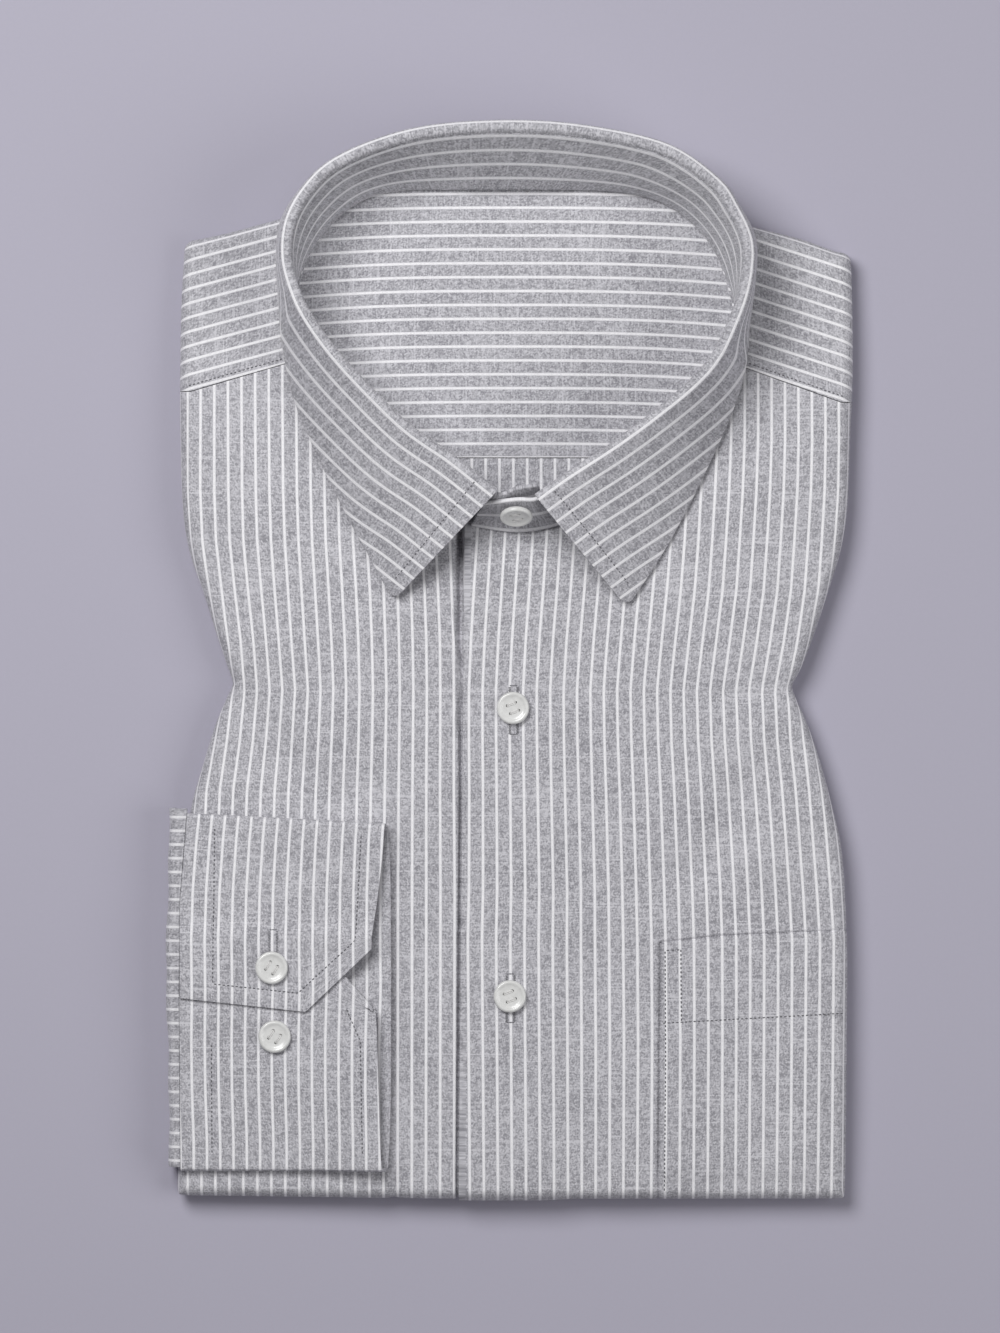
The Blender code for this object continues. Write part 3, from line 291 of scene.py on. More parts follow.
STAND_TOP_NUMBER = (0.17, 0.15, -0.32, 0.28)  # of the top edge: all round, in front, on the over and under end

# Soft creases pressed in by folding. Columns: x and y of each end, half width, height (a trough is negative).
CREASES = (
    (-96, -12, -74, -36, 5.5, -1.5), (-90, -33, -62, -47, 7, -1.4), (-95, 4, -72, 6, 6, 0.7),
    (-104, 60, -98, 20, 7, -0.35), (-52, 30, -48, -30, 9, 0.5), (-34, 20, -30, -80, 7, -0.25),
    (97, -9, 76, -13, 5, -1), (87, -38, 66, -71, 7, -1.5), (98, -58, 74, -80, 6.5, 0.8),
    (60, -74, 92, -86, 8, -0.8), (104, 44, 96, 16, 7, -0.35), (52, 10, 46, -60, 9, 0.5),
    (24, -30, 30, -110, 8, -0.5), (10, 20, 6, -8, 6, 0.3), (-12, -30, -10, -100, 5, 0.25),
    (34, -130, 30, -180, 8, 0.3), (82, -130, 86, -176, 9, -0.6), (-89, 128, -85, 106, 6, -0.9),
    (-84, 122, -80, 112, 5, -0.6), (-102, 136, -100, 108, 8, 0.35), (92, 118, 97, 102, 6, -0.9),
    (104, 134, 106, 108, 8, 0.3),
)
# Broad unevenness of the pressed stack. Columns: height, wavelength along x, along y, start.
SWELLS = ((0.16, 83, 140, 0.6), (0.12, 47, -91, 2.1), (0.08, -29, 61, 4))
# Slubs: width and length in metres, the share of the cloth's cells without one, and how strong.
SLUBS = ((0.0135, 0.0005, 0.95, 0.42), (0.007, 0.00046, 0.96, 0.3), (0.00046, 0.016, 0.975, 0.26))

# The stage, in metres: the board, and each light's name, place, size and share of the key light's power.
BOARD_HALF, BOARD_Z = 3, -0.0002
LIGHTS = (("key", (-0.46, 0.52, 1.15), 0.7, 1), ("fill", (0.95, -0.2, 0.95), 1, 0.42))

# ---- curves and surfaces, as whole arrays


def spline(rows, at):
    """Catmull-Rom curve through the rows: a cubic between two rows, with each row's slope from its neighbours."""
    rows = np.asarray(rows, float)
    at = np.asarray(at, float)
    ends = np.concatenate([[2 * rows[0] - rows[1]], rows, [2 * rows[-1] - rows[-2]]])
    first = np.clip(np.floor(at).astype(int), 0, len(rows) - 2)
    share = (at - first).reshape(-1, *[1] * (rows.ndim - 1))
    before, start, end, after = (ends[first + step] for step in range(4))
    return (
        start
        + 0.5 * (end - before) * share
        + 0.5 * (2 * before - 5 * start + 4 * end - after) * share**2
        + 0.5 * (3 * start - before - 3 * end + after) * share**3
    )


def smooth(rows, per_row):
    """The rows with smooth ones between them."""
    return spline(rows, np.linspace(0, len(rows) - 1, per_row * (len(rows) - 1) + 1))


BODY = smooth(BODY_SECTIONS, 8).T


def columns_at(at, places, columns):
    """Each column read at other places, by straight lines between its values."""
    return [np.interp(at, places, column) for column in columns]


def on_line(table, x):
    """Straight lines between the rows of a table of x and y."""
    return np.interp(x, *np.asarray(table, float).T)


def ramp(x, start, end):
    """0 before start, 1 after end, and the cubic 3s^2 - 2s^3 between."""
    share = np.clip((x - start) / (end - start), 0, 1)
    return share * share * (3 - 2 * share)


def even(start, end, step):
    """Even places from start to end, about a step apart."""
    return np.linspace(start, end, max(2, int(round(abs(end - start) / step)) + 1))


def together(*values):
    """Values as the last axis of one array, each spread to their common shape."""
    return np.stack(np.broadcast_arrays(*values), axis=-1)


def unit(vectors):
    """Vectors over their own lengths."""
    return vectors / np.maximum(np.linalg.norm(vectors, axis=-1, keepdims=True), 1e-12)


def directions(angle):
    """Unit vectors of plan angles: cosine and sine."""
    return together(np.cos(angle), np.sin(angle))


def right_of(path):
    """Unit normals on the right-hand side of a plan path: its slope turned by a quarter."""
    along = np.gradient(path, axis=0)
    return unit(together(along[:, 1], -along[:, 0]))


def lengths(path):
    """Length along a path up to each of its points: the running sum of its steps."""
    steps = np.linalg.norm(np.diff(path, axis=0), axis=-1)
    return np.concatenate([np.zeros_like(steps[:1]), np.cumsum(steps, axis=0)])


def dense(path):
    """A plan path with points every millimetre or so."""
    path = np.asarray(path, float)
    length = lengths(path)
    return together(*columns_at(even(0, length[-1], 1), length, path.T))


def nearest_on(path, points):
    """Distance from each point to a polyline, with the place along it: the least over its straight parts."""
    start, step = path[:-1], np.diff(path, axis=0)
    length = np.linalg.norm(step, axis=1)
    flat = points.reshape(-1, 1, path.shape[1])
    share = np.clip(((flat - start) * step).sum(2) / np.maximum(length**2, 1e-9), 0, 1)
    away = np.linalg.norm(flat - start - share[..., None] * step, axis=2)
    best = away.argmin(1)
    pick = np.arange(len(best))
    along = lengths(path)[best] + share[pick, best] * length[best]
    return away[pick, best].reshape(points.shape[:-1]), along.reshape(points.shape[:-1])


def groove(away, width, depth):
    """A narrow soft groove: a bell of the distance from its line."""
    return -depth * np.exp(-((away / width) ** 2))


def relief(x, y):
    """Creases and swells: each crease is a bell across its line, fading over its ends; each swell is a sine."""
    height = 0
    for x0, y0, x1, y1, width, depth in CREASES:
        along = ((x - x0) * (x1 - x0) + (y - y0) * (y1 - y0)) / ((x1 - x0) ** 2 + (y1 - y0) ** 2)
        near = np.clip(along, 0, 1)
        away = np.hypot(x - x0 - near * (x1 - x0), y - y0 - near * (y1 - y0))
        height = height + groove(away, width, -depth)
    for size, along_x, along_y, start in SWELLS:
        height = height + size * np.sin(2 * math.pi * (x / along_x + y / along_y) + start)
    return height


def body_at(y):
    """Left and right fold, and heights at the sides and the middle, of the body at y."""
    return columns_at(y, BODY[0], BODY[1:])


def side_base(side, y):
    """Where the flat top ends before a side fold: side 0 is the wearer's right, 1 the wearer's left."""
    return body_at(y)[side] + (-FOLD_REACH if side else FOLD_REACH)


def bottom_base(x):
    """Where the flat top ends before the bottom fold."""
    return on_line(BOTTOM_FOLD, x) + FOLD_REACH


def shoulder_base(x):
    """Where the flat top ends before the shoulders' fold."""
    return on_line(SHOULDER_FOLD, x) - FOLD_REACH


def side_path(side, start, end, count):
    """Points down or up the line where a side fold starts."""
    y = np.linspace(start, end, count)
    return together(side_base(side, y), y)


def end_path(base, start, end, count):
    """Points along the line where the bottom or the shoulders' fold starts."""
    x = np.linspace(start, end, count)
    return together(x, base(x))


def side_seam_end(side):
    """Where a shoulder seam meets the side fold's outline."""
    return body_at(SIDE_SEAM_Y[side])[side], SIDE_SEAM_Y[side]


def body_height(x, y):
    """Height of the fronts' outer face: a shallow arch from side to side, with the creases on it."""
    left, right, side, middle = body_at(y)
    across = np.clip((2 * x - left - right) / (right - left), -1, 1)
    return middle + (side - middle) * across**2 + relief(x, y)


def lap(x):
    """How much higher the left front lies over the right one."""
    return LAYER * (1 - ramp(x, *LAP_RAMP))


def over_front(x, y):
    """Height of the left front's outer face."""
    return body_height(x, y) + lap(x)


def cloth_under(x, y):
    """Height of whichever front lies on top there."""
    return body_height(x, y) + np.where(x > CLOSURE_X + CLOSURE_SLOPE * y - LAP_MARGIN, lap(x), 0)


def fold_over(base, outward, angle, lift):
    """A folded edge: a quarter ellipse that reaches out by FOLD_REACH and comes down by FOLD_SHARE of the height."""
    height = body_height(base[..., 0], base[..., 1])
    turn = np.radians(angle)
    out = base + outward * ((FOLD_REACH + LIFT_REACH * lift) * np.sin(turn))[..., None]
    z = (1 - FOLD_SHARE) * height + (FOLD_SHARE * height + lift) * np.cos(turn)
    return np.concatenate([out, z[..., None]], axis=-1)


def fold_arc(base, angle):
    """Length of cloth round the fold: its mean radius times the angle."""
    radius = 0.5 * (FOLD_REACH + FOLD_SHARE * body_height(base[..., 0], base[..., 1]))
    return radius * np.radians(angle)


def stripes_at(counts, rows, x, y):
    """Stripe number at a point: the table's stripe lines are read at y, then numbered straight between them."""
    rows = np.asarray(rows, float)[::-1]
    lines = columns_at(y, rows[:, 0], rows[:, 1:].T)
    number, last = float(counts[0]), len(counts) - 2
    for k, (start, end) in enumerate(zip(lines, lines[1:])):
        share = np.clip((x - start) / (end - start), 0 if k else -9, 9 if k == last else 1)
        number = number + share * (counts[k + 1] - counts[k])
    return number


# ---- meshes


def quads(rows, columns, close=False):
    """Faces of a grid of points, row by row."""
    number = np.arange(rows * columns).reshape(rows, columns)
    if close:
        number = np.concatenate([number, number[:, :1]], axis=1)
    corners = (number[:-1, :-1], number[:-1, 1:], number[1:, 1:], number[1:, :-1])
    return together(*corners).reshape(-1, 4)


def join(parts):
    """Many sets of points and faces as one."""
    points, faces, start = [], [], 0
    for some_points, some_faces in parts:
        points.append(some_points)
        faces += [[start + corner for corner in face] for face in some_faces]
        start += len(some_points)
    return np.vstack(points), faces


def new_mesh(name, points, faces):
    """A mesh from points in metres."""
    mesh = bpy.data.meshes.new(name)
    mesh.from_pydata(np.asarray(points).tolist(), [], [list(face) for face in faces])
    return mesh


def new_object(name, data):
    """An object at the origin, in the scene."""
    made = bpy.data.objects.new(name, data)
    bpy.context.scene.collection.objects.link(made)
    return made


def rework(mesh, change):
    """Changes a mesh by way of bmesh."""
    work = bmesh.new()
    work.from_mesh(mesh)
    change(work)
    work.to_mesh(mesh)
    work.free()


def face_out(work):
    """Turns a closed mesh's faces outwards."""
    bmesh.ops.recalc_face_normals(work, faces=work.faces)


def merge_points(work):
    """Makes points in the same place one."""
    bmesh.ops.remove_doubles(work, verts=work.verts, dist=1e-6)


def add_mesh(name, points, faces, material, slot, uv=None, node=None, change=None, sharp=None):
    """A piece from points in millimetres; uv is the cloth's own measure, a row for each point."""
    mesh = new_mesh(name, np.reshape(points, (-1, 3)) * MM, faces)
    if uv is not None:
        layer = mesh.uv_layers.new(name="cloth")
        corner = np.empty(len(mesh.loops), np.int32)
        mesh.loops.foreach_get("vertex_index", corner)
        layer.data.foreach_set("uv", (np.reshape(uv, (-1, 2))[corner] * MM).astype(np.float32).ravel())
    mesh.materials.append(material)
    if change:
        rework(mesh, change)
    mesh.shade_smooth()
    if sharp:
        mesh.set_sharp_from_angle(angle=sharp)
    made = new_object(name, mesh)
    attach(made, "root")
    if node:
        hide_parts(node)
    return made


def add_cloth(name, surface, node, thicker=0.0, flip=False, change=None):
    """A shell of cloth under the given outer face, with rounded cut edges."""
    points, uv = surface
    faces = quads(*points.shape[:2])
    if flip:
        faces = faces[:, ::-1]
    made = add_mesh(name, points, faces, end_on_end_cotton(), "shirt_cloth", uv, node, change)
    wall = bpy.context.scene.shirt_sizes.cloth_wall + thicker * MM
    thickness = made.modifiers.new("Cloth", "SOLIDIFY")
    thickness.thickness = wall
    thickness.offset = -1
    edge = made.modifiers.new("Turned edges", "BEVEL")
    edge.width = 0.3 * wall
    edge.segments = 2
    edge.limit_method = "ANGLE"
    edge.angle_limit = CREASE_ANGLE


# ---- the body's pieces


def neck_edge(rows):
    """The body's neck edge at places counted in rows of the collar's table."""
    path = smooth(np.array(COLLAR_SECTIONS)[:, :2], 6)
    path = path + right_of(path) * NECK_BACK_OUT * ramp(path[:, 1:], *NECK_BACK_Y)
    return together(*columns_at(rows, np.linspace(0, SECTION_COUNT, len(path)), path.T))


def neck_ring():
    """Closed plan outline of the inside pieces, from the left front round the back: the stand's seam and a bit more."""
    front = [end[:2] for end in STAND_ENDS["inner"]]
    knots = np.vstack([np.array(COLLAR_SECTIONS)[1:, :2], front])
    loop = np.vstack([knots[-2:], knots, knots[:3]])
    ring = spline(loop, np.linspace(2, len(knots) + 2, 6 * len(knots) + 1))[:-1]
    around = np.vstack([ring[-1:], ring, ring[:1]])
    return ring + right_of(around)[1:-1] * INNER_OUT


def top_seam(x):
    """The upper edge of both fronts: the shoulder seams and the neck edge between them."""
    right_end, left_start = YOKE_SEAM_SECTIONS
    left_neck = neck_edge(np.arange(left_start, SECTION_COUNT + 1))
    stand = [end[:2] for end in STAND_ENDS["inner"]]
    right_neck = neck_edge(np.arange(1, right_end + 1))
    sides = [(side_base(side, y), y) for side, y in enumerate(SIDE_SEAM_Y)]
    return on_line(np.vstack([sides[0], left_neck, stand, right_neck, sides[1]]), x)


def front_plan(closure, side, shares, ups):
    """Plan points of a front: a share runs from the closure to the side fold, and up from the bottom to the seam.

    The rows are level near the bottom and follow the shoulder seam and the neck near the top.
    """
    seam_y = SIDE_SEAM_Y[side]

    def x_at(y):
        line = closure[0] + closure[1] * y
        return line + shares * (side_base(side, y) - line)

    top_y = np.full(len(shares), float(seam_y))
    for _ in range(SEAM_ROUNDS):
        top_y = 0.5 * top_y + 0.5 * (top_seam(x_at(top_y)) - SEAM_GAP / 2)
    bottom_y = bottom_base(x_at(BOTTOM_ROW_Y))
    up = ups[:, None]
    level = bottom_y + up * (seam_y - bottom_y)
    tilt = ROW_TILT[side] * (1 - shares) * up * (1 - up)
    y = level + tilt + (top_y - seam_y) * up**3
    return together(x_at(y), y)


def front_surface(closure, side, shares, ups, lift, counts, rows):
    """A front with its side and bottom folds as one grid.

    Past the last share the columns turn down round the side, and before the first row they turn under the bottom.
    In the corner the two turns make a direction, and the larger of them is the angle.
    """
    turns = len(FOLD_TURN)
    plan = front_plan(closure, side, shares, ups)
    outward = right_of(plan[::-1, -1])[::-1] * (-1 if side else 1)
    plan = np.pad(plan, ((turns, 0), (0, turns), (0, 0)), "edge")
    outward = np.pad(outward, ((turns, 0), (0, 0)), "edge")
    side_turn = np.pad(FOLD_TURN, (len(shares), 0))[None, :, None]
    end_turn = np.pad(FOLD_TURN[::-1], (0, len(ups)))[:, None, None]
    direction = unit(side_turn * outward[:, None] + end_turn * np.array([0, -1]))
    angle = np.maximum(side_turn, end_turn)[..., 0]
    larger = np.abs(direction).max(axis=-1, keepdims=True)
    reach = direction / np.where(larger > 0, larger, 1) ** CORNER_SQUARENESS
    x, y = plan[..., 0], plan[..., 1]
    rise = lift(x, y, np.pad(shares, (0, turns), "edge")[None], np.pad(ups, (turns, 0))[:, None])
    points = fold_over(plan, reach, angle, rise)
    cloth = together(stripes_at(counts, rows, x, y) * STRIPE_PITCH, y)
    counted = np.array([np.sign(counts[-1] - counts[0]), 1])
    return points, cloth + counted * direction * fold_arc(plan, angle)[..., None]


def right_surface(shares, ups):
    """The right front, which ends under the left one."""
    return front_surface((UNDER_EDGE_X, 0), 0, shares, ups, right_rise, RIGHT_STRIPES, RIGHT_STRIPE_ROWS)


def left_surface(shares, ups, lift):
    """The left front, or what lies on it, from the closure to the side."""
    return front_surface((CLOSURE_X, CLOSURE_SLOPE), 1, shares, ups, lift, LEFT_STRIPES, LEFT_STRIPE_ROWS)


def front_ups():
    """Rows of a front, closer together at the waist: a sine taken off even ones."""
    share, (crowding, start, span) = even(0, 1, 1 / 140), WAIST_ROWS
    return share - crowding * np.sin(2 * math.pi * np.clip((share - start) / span, 0, 1))


def pocket_mouth():
    """How far up the left front the pocket's mouth lies."""
    low = front_plan((CLOSURE_X, CLOSURE_SLOPE), 1, np.array([1.0]), np.array([0.0]))[0, 0, 1]
    return (POCKET_TOP_Y - low) / (SIDE_SEAM_Y[1] - low)


def unstriped_edge(across):
    """Past the last stripe the pattern goes to and fro between stripes, so that none shows: in pitches it becomes
    edge - 0.1 + |(depth + 0.1) mod 0.4 - 0.2|, where depth is how far past the edge it is."""
    number = across / STRIPE_PITCH
    depth = np.maximum(LEFT_EDGE_NUMBER - number, 0)
    turned = LEFT_EDGE_NUMBER - 0.1 + np.abs((depth + 0.1) % 0.4 - 0.2)
    return np.where(depth > 0, turned, number) * STRIPE_PITCH


def right_rise(x, y, share, up):
    """The right front is pressed down along the left front's edge, deeper near the neck, and beside the cuff."""
    near = ramp(y, *GROOVE_Y)
    away = x - CLOSURE_X - CLOSURE_SLOPE * y
    offset, width, depth = (low + more * near for low, more in CLOSURE_GROOVE)
    drop, start, end = UNDER_DROP
    cuff_x, cuff_width, cuff_depth = CUFF_GROOVE
    cuff = groove(x - cuff_x, cuff_width, cuff_depth) * ramp(y, *CUFF_GROOVE_Y)
    return groove(away + offset, width, depth) - drop * ramp(away, start, end) + cuff


def left_rise(x, y, share, up):
    """The left front laps over the right one, and is pressed down under the pocket and in a groove round it."""
    width, height = POCKET_FRONT
    past, above = share - POCKET_SHARE, up - pocket_mouth()
    by_edge, by_mouth = POCKET_BED_RAMPS
    inside = ramp(past, *by_edge) * ramp(above, *by_mouth)
    (beside, *side_size), (over, *top_size) = POCKET_GROOVES
    side_end, top_end = POCKET_GROOVE_ENDS
    side = groove(past * width + beside, *side_size) * (above < side_end)
    top = groove(above * height + over, *top_size) * (past > top_end)
    return lap(x) + np.minimum(side, top) - POCKET_BED * inside


def pocket_rise(x, y, share, up):
    """The pocket lies one layer up, but no further out than the front where both are folded."""
    shares, rows, loss = POCKET_FLUSH
    at_fold = np.maximum(ramp(share, *shares), ramp(up, *rows))
    return lap(x) + LAYER * (1 - loss * at_fold)


def yoke_places(outer):
    """Where the yoke's columns start on the neck: evenly near the shoulder seams, else nearest their outer end."""
    first, last = YOKE_SEAM_SECTIONS
    places = np.linspace(first, last, 400)
    path = neck_edge(places)
    nearest = np.interp(nearest_on(path, outer)[1], lengths(path), places)
    share = np.linspace(0, 1, len(outer))
    weight = YOKE_NEAREST * np.minimum(*(ramp(share, *ends) for ends in YOKE_NEAREST_RAMPS))
    return np.maximum.accumulate((1 - weight) * (first + (last - first) * share) + weight * nearest)


def yoke_surface():
    """The outer yoke, from the left front's shoulder seam round behind the neck to the right front's.

    Rows run from the neck edge to the folds and then down round them; the two corners fan out.
    """
    sides, top, fan = YOKE_COLUMNS
    seams = [y + SEAM_GAP / 2 for y in SIDE_SEAM_Y]
    corners = [shoulder_base(x) for x in YOKE_CORNERS_X]
    right = side_path(1, seams[1], corners[1], sides)
    left = side_path(0, corners[0], seams[0], sides)
    shoulders = end_path(shoulder_base, right[-1, 0], left[0, 0], top)
    corner_turn = np.linspace(0, math.pi / 2, fan)
    right_corner, left_corner = (np.repeat(point, fan, axis=0) for point in (right[-1:], left[:1]))
    outer = np.vstack([right[:-1], right_corner, shoulders[1:-1], left_corner, left[1:]])
    outward = np.vstack(
        [
            np.tile((1, 0), (sides - 1, 1)),
            directions(corner_turn),
            right_of(shoulders)[1:-1],
            directions(corner_turn + math.pi / 2),
            np.tile((-1, 0), (sides - 1, 1)),
        ]
    )
    inner = neck_edge(yoke_places(outer))
    inner[[0, -1], 1] += SEAM_GAP / 2
    neck_y = np.interp(outer[:, 0], inner[::-1, 0], inner[::-1, 1])
    behind = outer[:, 1] > YOKE_BACK_Y
    outer[:, 1] = np.where(behind, np.maximum(outer[:, 1], neck_y + YOKE_LEAST_WIDTH), outer[:, 1])
    share = even(0, 1, 1 / 22)
    plan = inner + (outer - inner) * share[:, None, None]
    plan = np.pad(plan, ((0, len(FOLD_TURN)), (0, 0), (0, 0)), "edge")
    angle = np.pad(FOLD_TURN, (len(share), 0))[:, None]
    (left_x, left_y), (right_x, right_y) = side_seam_end(0), side_seam_end(1)
    on_right = plan[..., 0] > 0
    slope = yoke_slope(plan[..., 0])
    x, y = np.moveaxis(plan + fold_arc(plan, angle)[..., None] * outward, -1, 0)
    rise = slope * (x - np.where(on_right, right_x, left_x))
    across = (y - np.where(on_right, right_y, left_y) - rise) / np.hypot(1, slope)
    return fold_over(plan, outward, angle, 0), together(across * STRIPE_PITCH / YOKE_PITCH, x)


def yoke_slope(x):
    """Slope of the shoulder seam on each side, level across the back."""
    slopes = []
    for side in (0, 1):
        (x0, y0), (x1, y1) = side_seam_end(side), neck_edge([YOKE_SEAM_SECTIONS[1 - side]])[0]
        slopes.append((y1 - y0) / (x1 - x0))
    return slopes[0] + (slopes[1] - slopes[0]) * ramp(x, *YOKE_LEVEL_X)


def inside_surface(rows):
    """The cloth seen down the neck: flat rows across the neck's ring that curl up where they meet its edge."""
    ring = neck_ring()
    closed = np.vstack([ring, ring[:1]])
    (start_x, start_y), (end_x, end_y) = closed[:-1].T, closed[1:].T
    rows = rows[:, None]
    crosses = (start_y > rows) != (end_y > rows)
    slope = (end_x - start_x) / np.where(end_y == start_y, 1, end_y - start_y)
    at = start_x + (rows - start_y) * slope
    low = np.where(crosses, at, np.inf).min(1, keepdims=True)
    high = np.where(crosses, at, -np.inf).max(1, keepdims=True)
    x = low + (high - low) * (0.5 - 0.5 * np.cos(math.pi * np.linspace(0, 1, 61)))
    plan = together(x, rows)
    y = plan[..., 1]
    z = INNER_REST + INNER_RISE * ramp(y, INNER_RISE_Y, ring[:, 1].max()) + 0.5 * relief(x, y)
    curl, reach = INNER_CURL
    edge = np.clip(1 - nearest_on(closed, plan)[0] / reach, 0, 1) ** 2.5
    return together(x, y, z + (body_height(x, y) - LAYER - z) * curl * edge)


def inside_rows():
    """Where the inside pieces' rows lie: the back panel's and the inner yoke's."""
    ring = neck_ring()[:, 1]
    low, high = ring.min() + INNER_END_GAP, ring.max() - INNER_END_GAP
    seam = INNER_YOKE_SEAM_Y
    return np.linspace(low, seam - SEAM_GAP / 2, 14), even(seam + SEAM_GAP / 2, high, 1.6)


# ---- the collar


def slerp(start, end, share):
    """Turns one unit vector to another along the arc between them."""
    angle = np.arccos(np.clip((start * end).sum(-1, keepdims=True), -1, 1))
    return (np.sin((1 - share) * angle) * start + np.sin(share * angle) * end) / np.sin(angle)


def square_to(axis, vectors):
    """Unit vectors square to the axis: each one less its part along it."""
    return unit(vectors - axis * (vectors * axis).sum(1, keepdims=True))


def stand_foot(seam):
    """Points of the stand's foot, a little above the cloth."""
    return np.column_stack([seam, cloth_under(*seam.T) + STAND_GAP])


def collar_frames(places):
    """The collar's sections at places counted in rows of its table: the stand's foot and top, and the leaf's frame."""
    rows = spline(COLLAR_SECTIONS, places)
    seam, crest, edge, leg = rows[:, :2], rows[:, 2:5], rows[:, 5:8].copy(), LEG_SHARE * rows[:, 8:]
    foot = stand_foot(seam + FOOT_OUT * right_of(seam))
    on_body = edge[:, 1] < on_line(SHOULDER_FOLD, edge[:, 0]) + 1
    resting = cloth_under(edge[:, 0], edge[:, 1]) + LAYER + SEAM_GAP
    edge[:, 2] = np.where(on_body, np.maximum(edge[:, 2], resting), edge[:, 2])
    outward = np.pad(right_of(crest[:, :2]), ((0, 0), (0, 1)))
    middle = crest - (0, 0, ROLL)
    inner = -square_to(unit(middle - foot), outward)
    outer = square_to(unit(edge - middle), UP + LEAF_LEAN * outward)
    start = middle + inner * ROLL
    line = unit(foot - start)
    return foot, start + line * (leg + SEAM_GAP), crest, edge, middle, inner, outer, start, line * leg


def leaf_places():
    """Section places of the leaf, close together at its two front ends, where the tips are rounded."""
    near = np.array(NEAR_TIP)
    middle = np.linspace(0.25, SECTION_COUNT - 0.25, 8 * SECTION_COUNT - 3)
    return np.concatenate([near, middle, SECTION_COUNT - near[::-1]])


def leaf_surface():
    """The leaf: up inside the stand, over a round roll and down outside with a slight bulge; one column a section.

    Stripes are numbered by how far a point lies from the crest in plan, and by the length of cloth inside and where
    the leaf hangs steeply.
    """
    _, _, crest, edge, middle, inner, outer, start, leg = collar_frames(leaf_places())
    up = np.linspace(1, 0, LEG_ROWS + 1)[:-1, None, None]
    over = np.linspace(0, 1, ROLL_ROWS + 1)[:-1, None, None]
    down = np.linspace(0, 1, OUTER_ROWS)[:, None, None]
    shoulder = middle + outer * ROLL
    fall = edge - shoulder
    length = np.linalg.norm(fall, axis=1)
    along_edge = lengths(edge)
    corner = np.minimum(along_edge, along_edge[-1] - along_edge)
    cut = TIP_RADIUS - np.sqrt(np.maximum(TIP_RADIUS**2 - np.maximum(TIP_RADIUS - corner, 0) ** 2, 0))
    down = down * (1 - (cut / length)[:, None] * down**6)
    outside = shoulder + fall * down + outer * LEAF_BULGE * np.sin(math.pi * down)
    points = np.concatenate([start + leg * up, middle + ROLL * slerp(inner, outer, over), outside])
    path = crest[:, :2]
    overrun, steps = CREST_OVERRUN
    ends = unit(np.array([path[0] - path[steps], path[-1] - path[-1 - steps]])) * overrun
    path = np.vstack([path[0] + ends[0], path, path[-1] + ends[1]])
    away, along = nearest_on(path, points[..., :2])
    side = ((points - crest)[..., :2] * unit((outer - inner)[:, :2])).sum(-1)
    away = np.where(side < 0, -away, away)
    reach = lengths(points)
    reach = reach - reach[LEVEL_ROW]
    level = np.linalg.norm(fall[:, :2], axis=1) / length
    number = away + (reach - away) * ramp(level, *LEAF_HANGS)
    number[:LEVEL_ROW] = number[LEVEL_ROW] + reach[:LEVEL_ROW] * INSIDE_STRETCH
    by_y, by_x = CREST_SHIFT_RAMPS
    number -= CREST_SHIFT * np.maximum(ramp(crest[:, 1], *by_y), ramp(crest[:, 0], *by_x))
    return points[:, ::-1], together(number, along)[:, ::-1]


def stand_surface():
    """The stand from its foot to its top, with its two ends lapped in front; one column a section.

    Stripes are counted down from its top edge, where one shows only on the end that laps over.
    """
    foot, top = collar_frames(np.linspace(0, SECTION_COUNT, 2 * SECTION_COUNT + 1))[:2]
    outer, inner = np.array(STAND_ENDS["outer"])[::-1], np.array(STAND_ENDS["inner"])
    foot = smooth(np.vstack([stand_foot(outer[:, :2]), foot, stand_foot(inner[:, :2])]), 5)
    top = smooth(np.vstack([outer[:, 2:], top, inner[:, 2:]]), 5)
    share = np.linspace(0, 1, 21)[:, None]
    points = foot + (top - foot) * share[..., None]
    along = lengths(foot)
    ends = np.stack([along, along[-1] - along])
    front, (over, under) = ramp(ends.min(0), *FRONT_BAND), ramp(ends, *STAND_LAP)
    top_number = np.array(STAND_TOP_NUMBER) @ [np.ones_like(front), front, over, under]
    number = (share - 1) * (STAND_STRIPES + (FRONT_BAND_STRIPES - STAND_STRIPES) * front) + top_number
    return points[:, ::-1], together(number * STRIPE_PITCH, along)[:, ::-1]


# ---- the cuff and the sleeve


def cuff_loft(x):
    """How much higher the cuff's upper layers stand than its solid: more towards the open hand edge."""
    least, more, start, end = CUFF_LOFT
    return least + more * ramp(x, start, end)


def hand_lift(x):
    """How much higher than their solid all the cuff's layers stand towards the open hand edge."""
    most, start, end = HAND_LIFT
    return most * ramp(x, start, end)


def cuff_floor(x, y):
    """Height of the front under the cuff, held level past the front's side."""
    return body_height(np.maximum(x, body_at(CUFF_FOLD_Y)[0] + CUFF_SIDE_INSET), y)


def cuff_top(x, y):
    """Height of the cuff's upper face: the over flap climbs onto the under flap."""
    return cuff_floor(x, y) + on_line(CUFF_TOP, y) + cuff_loft(x) + hand_lift(x)


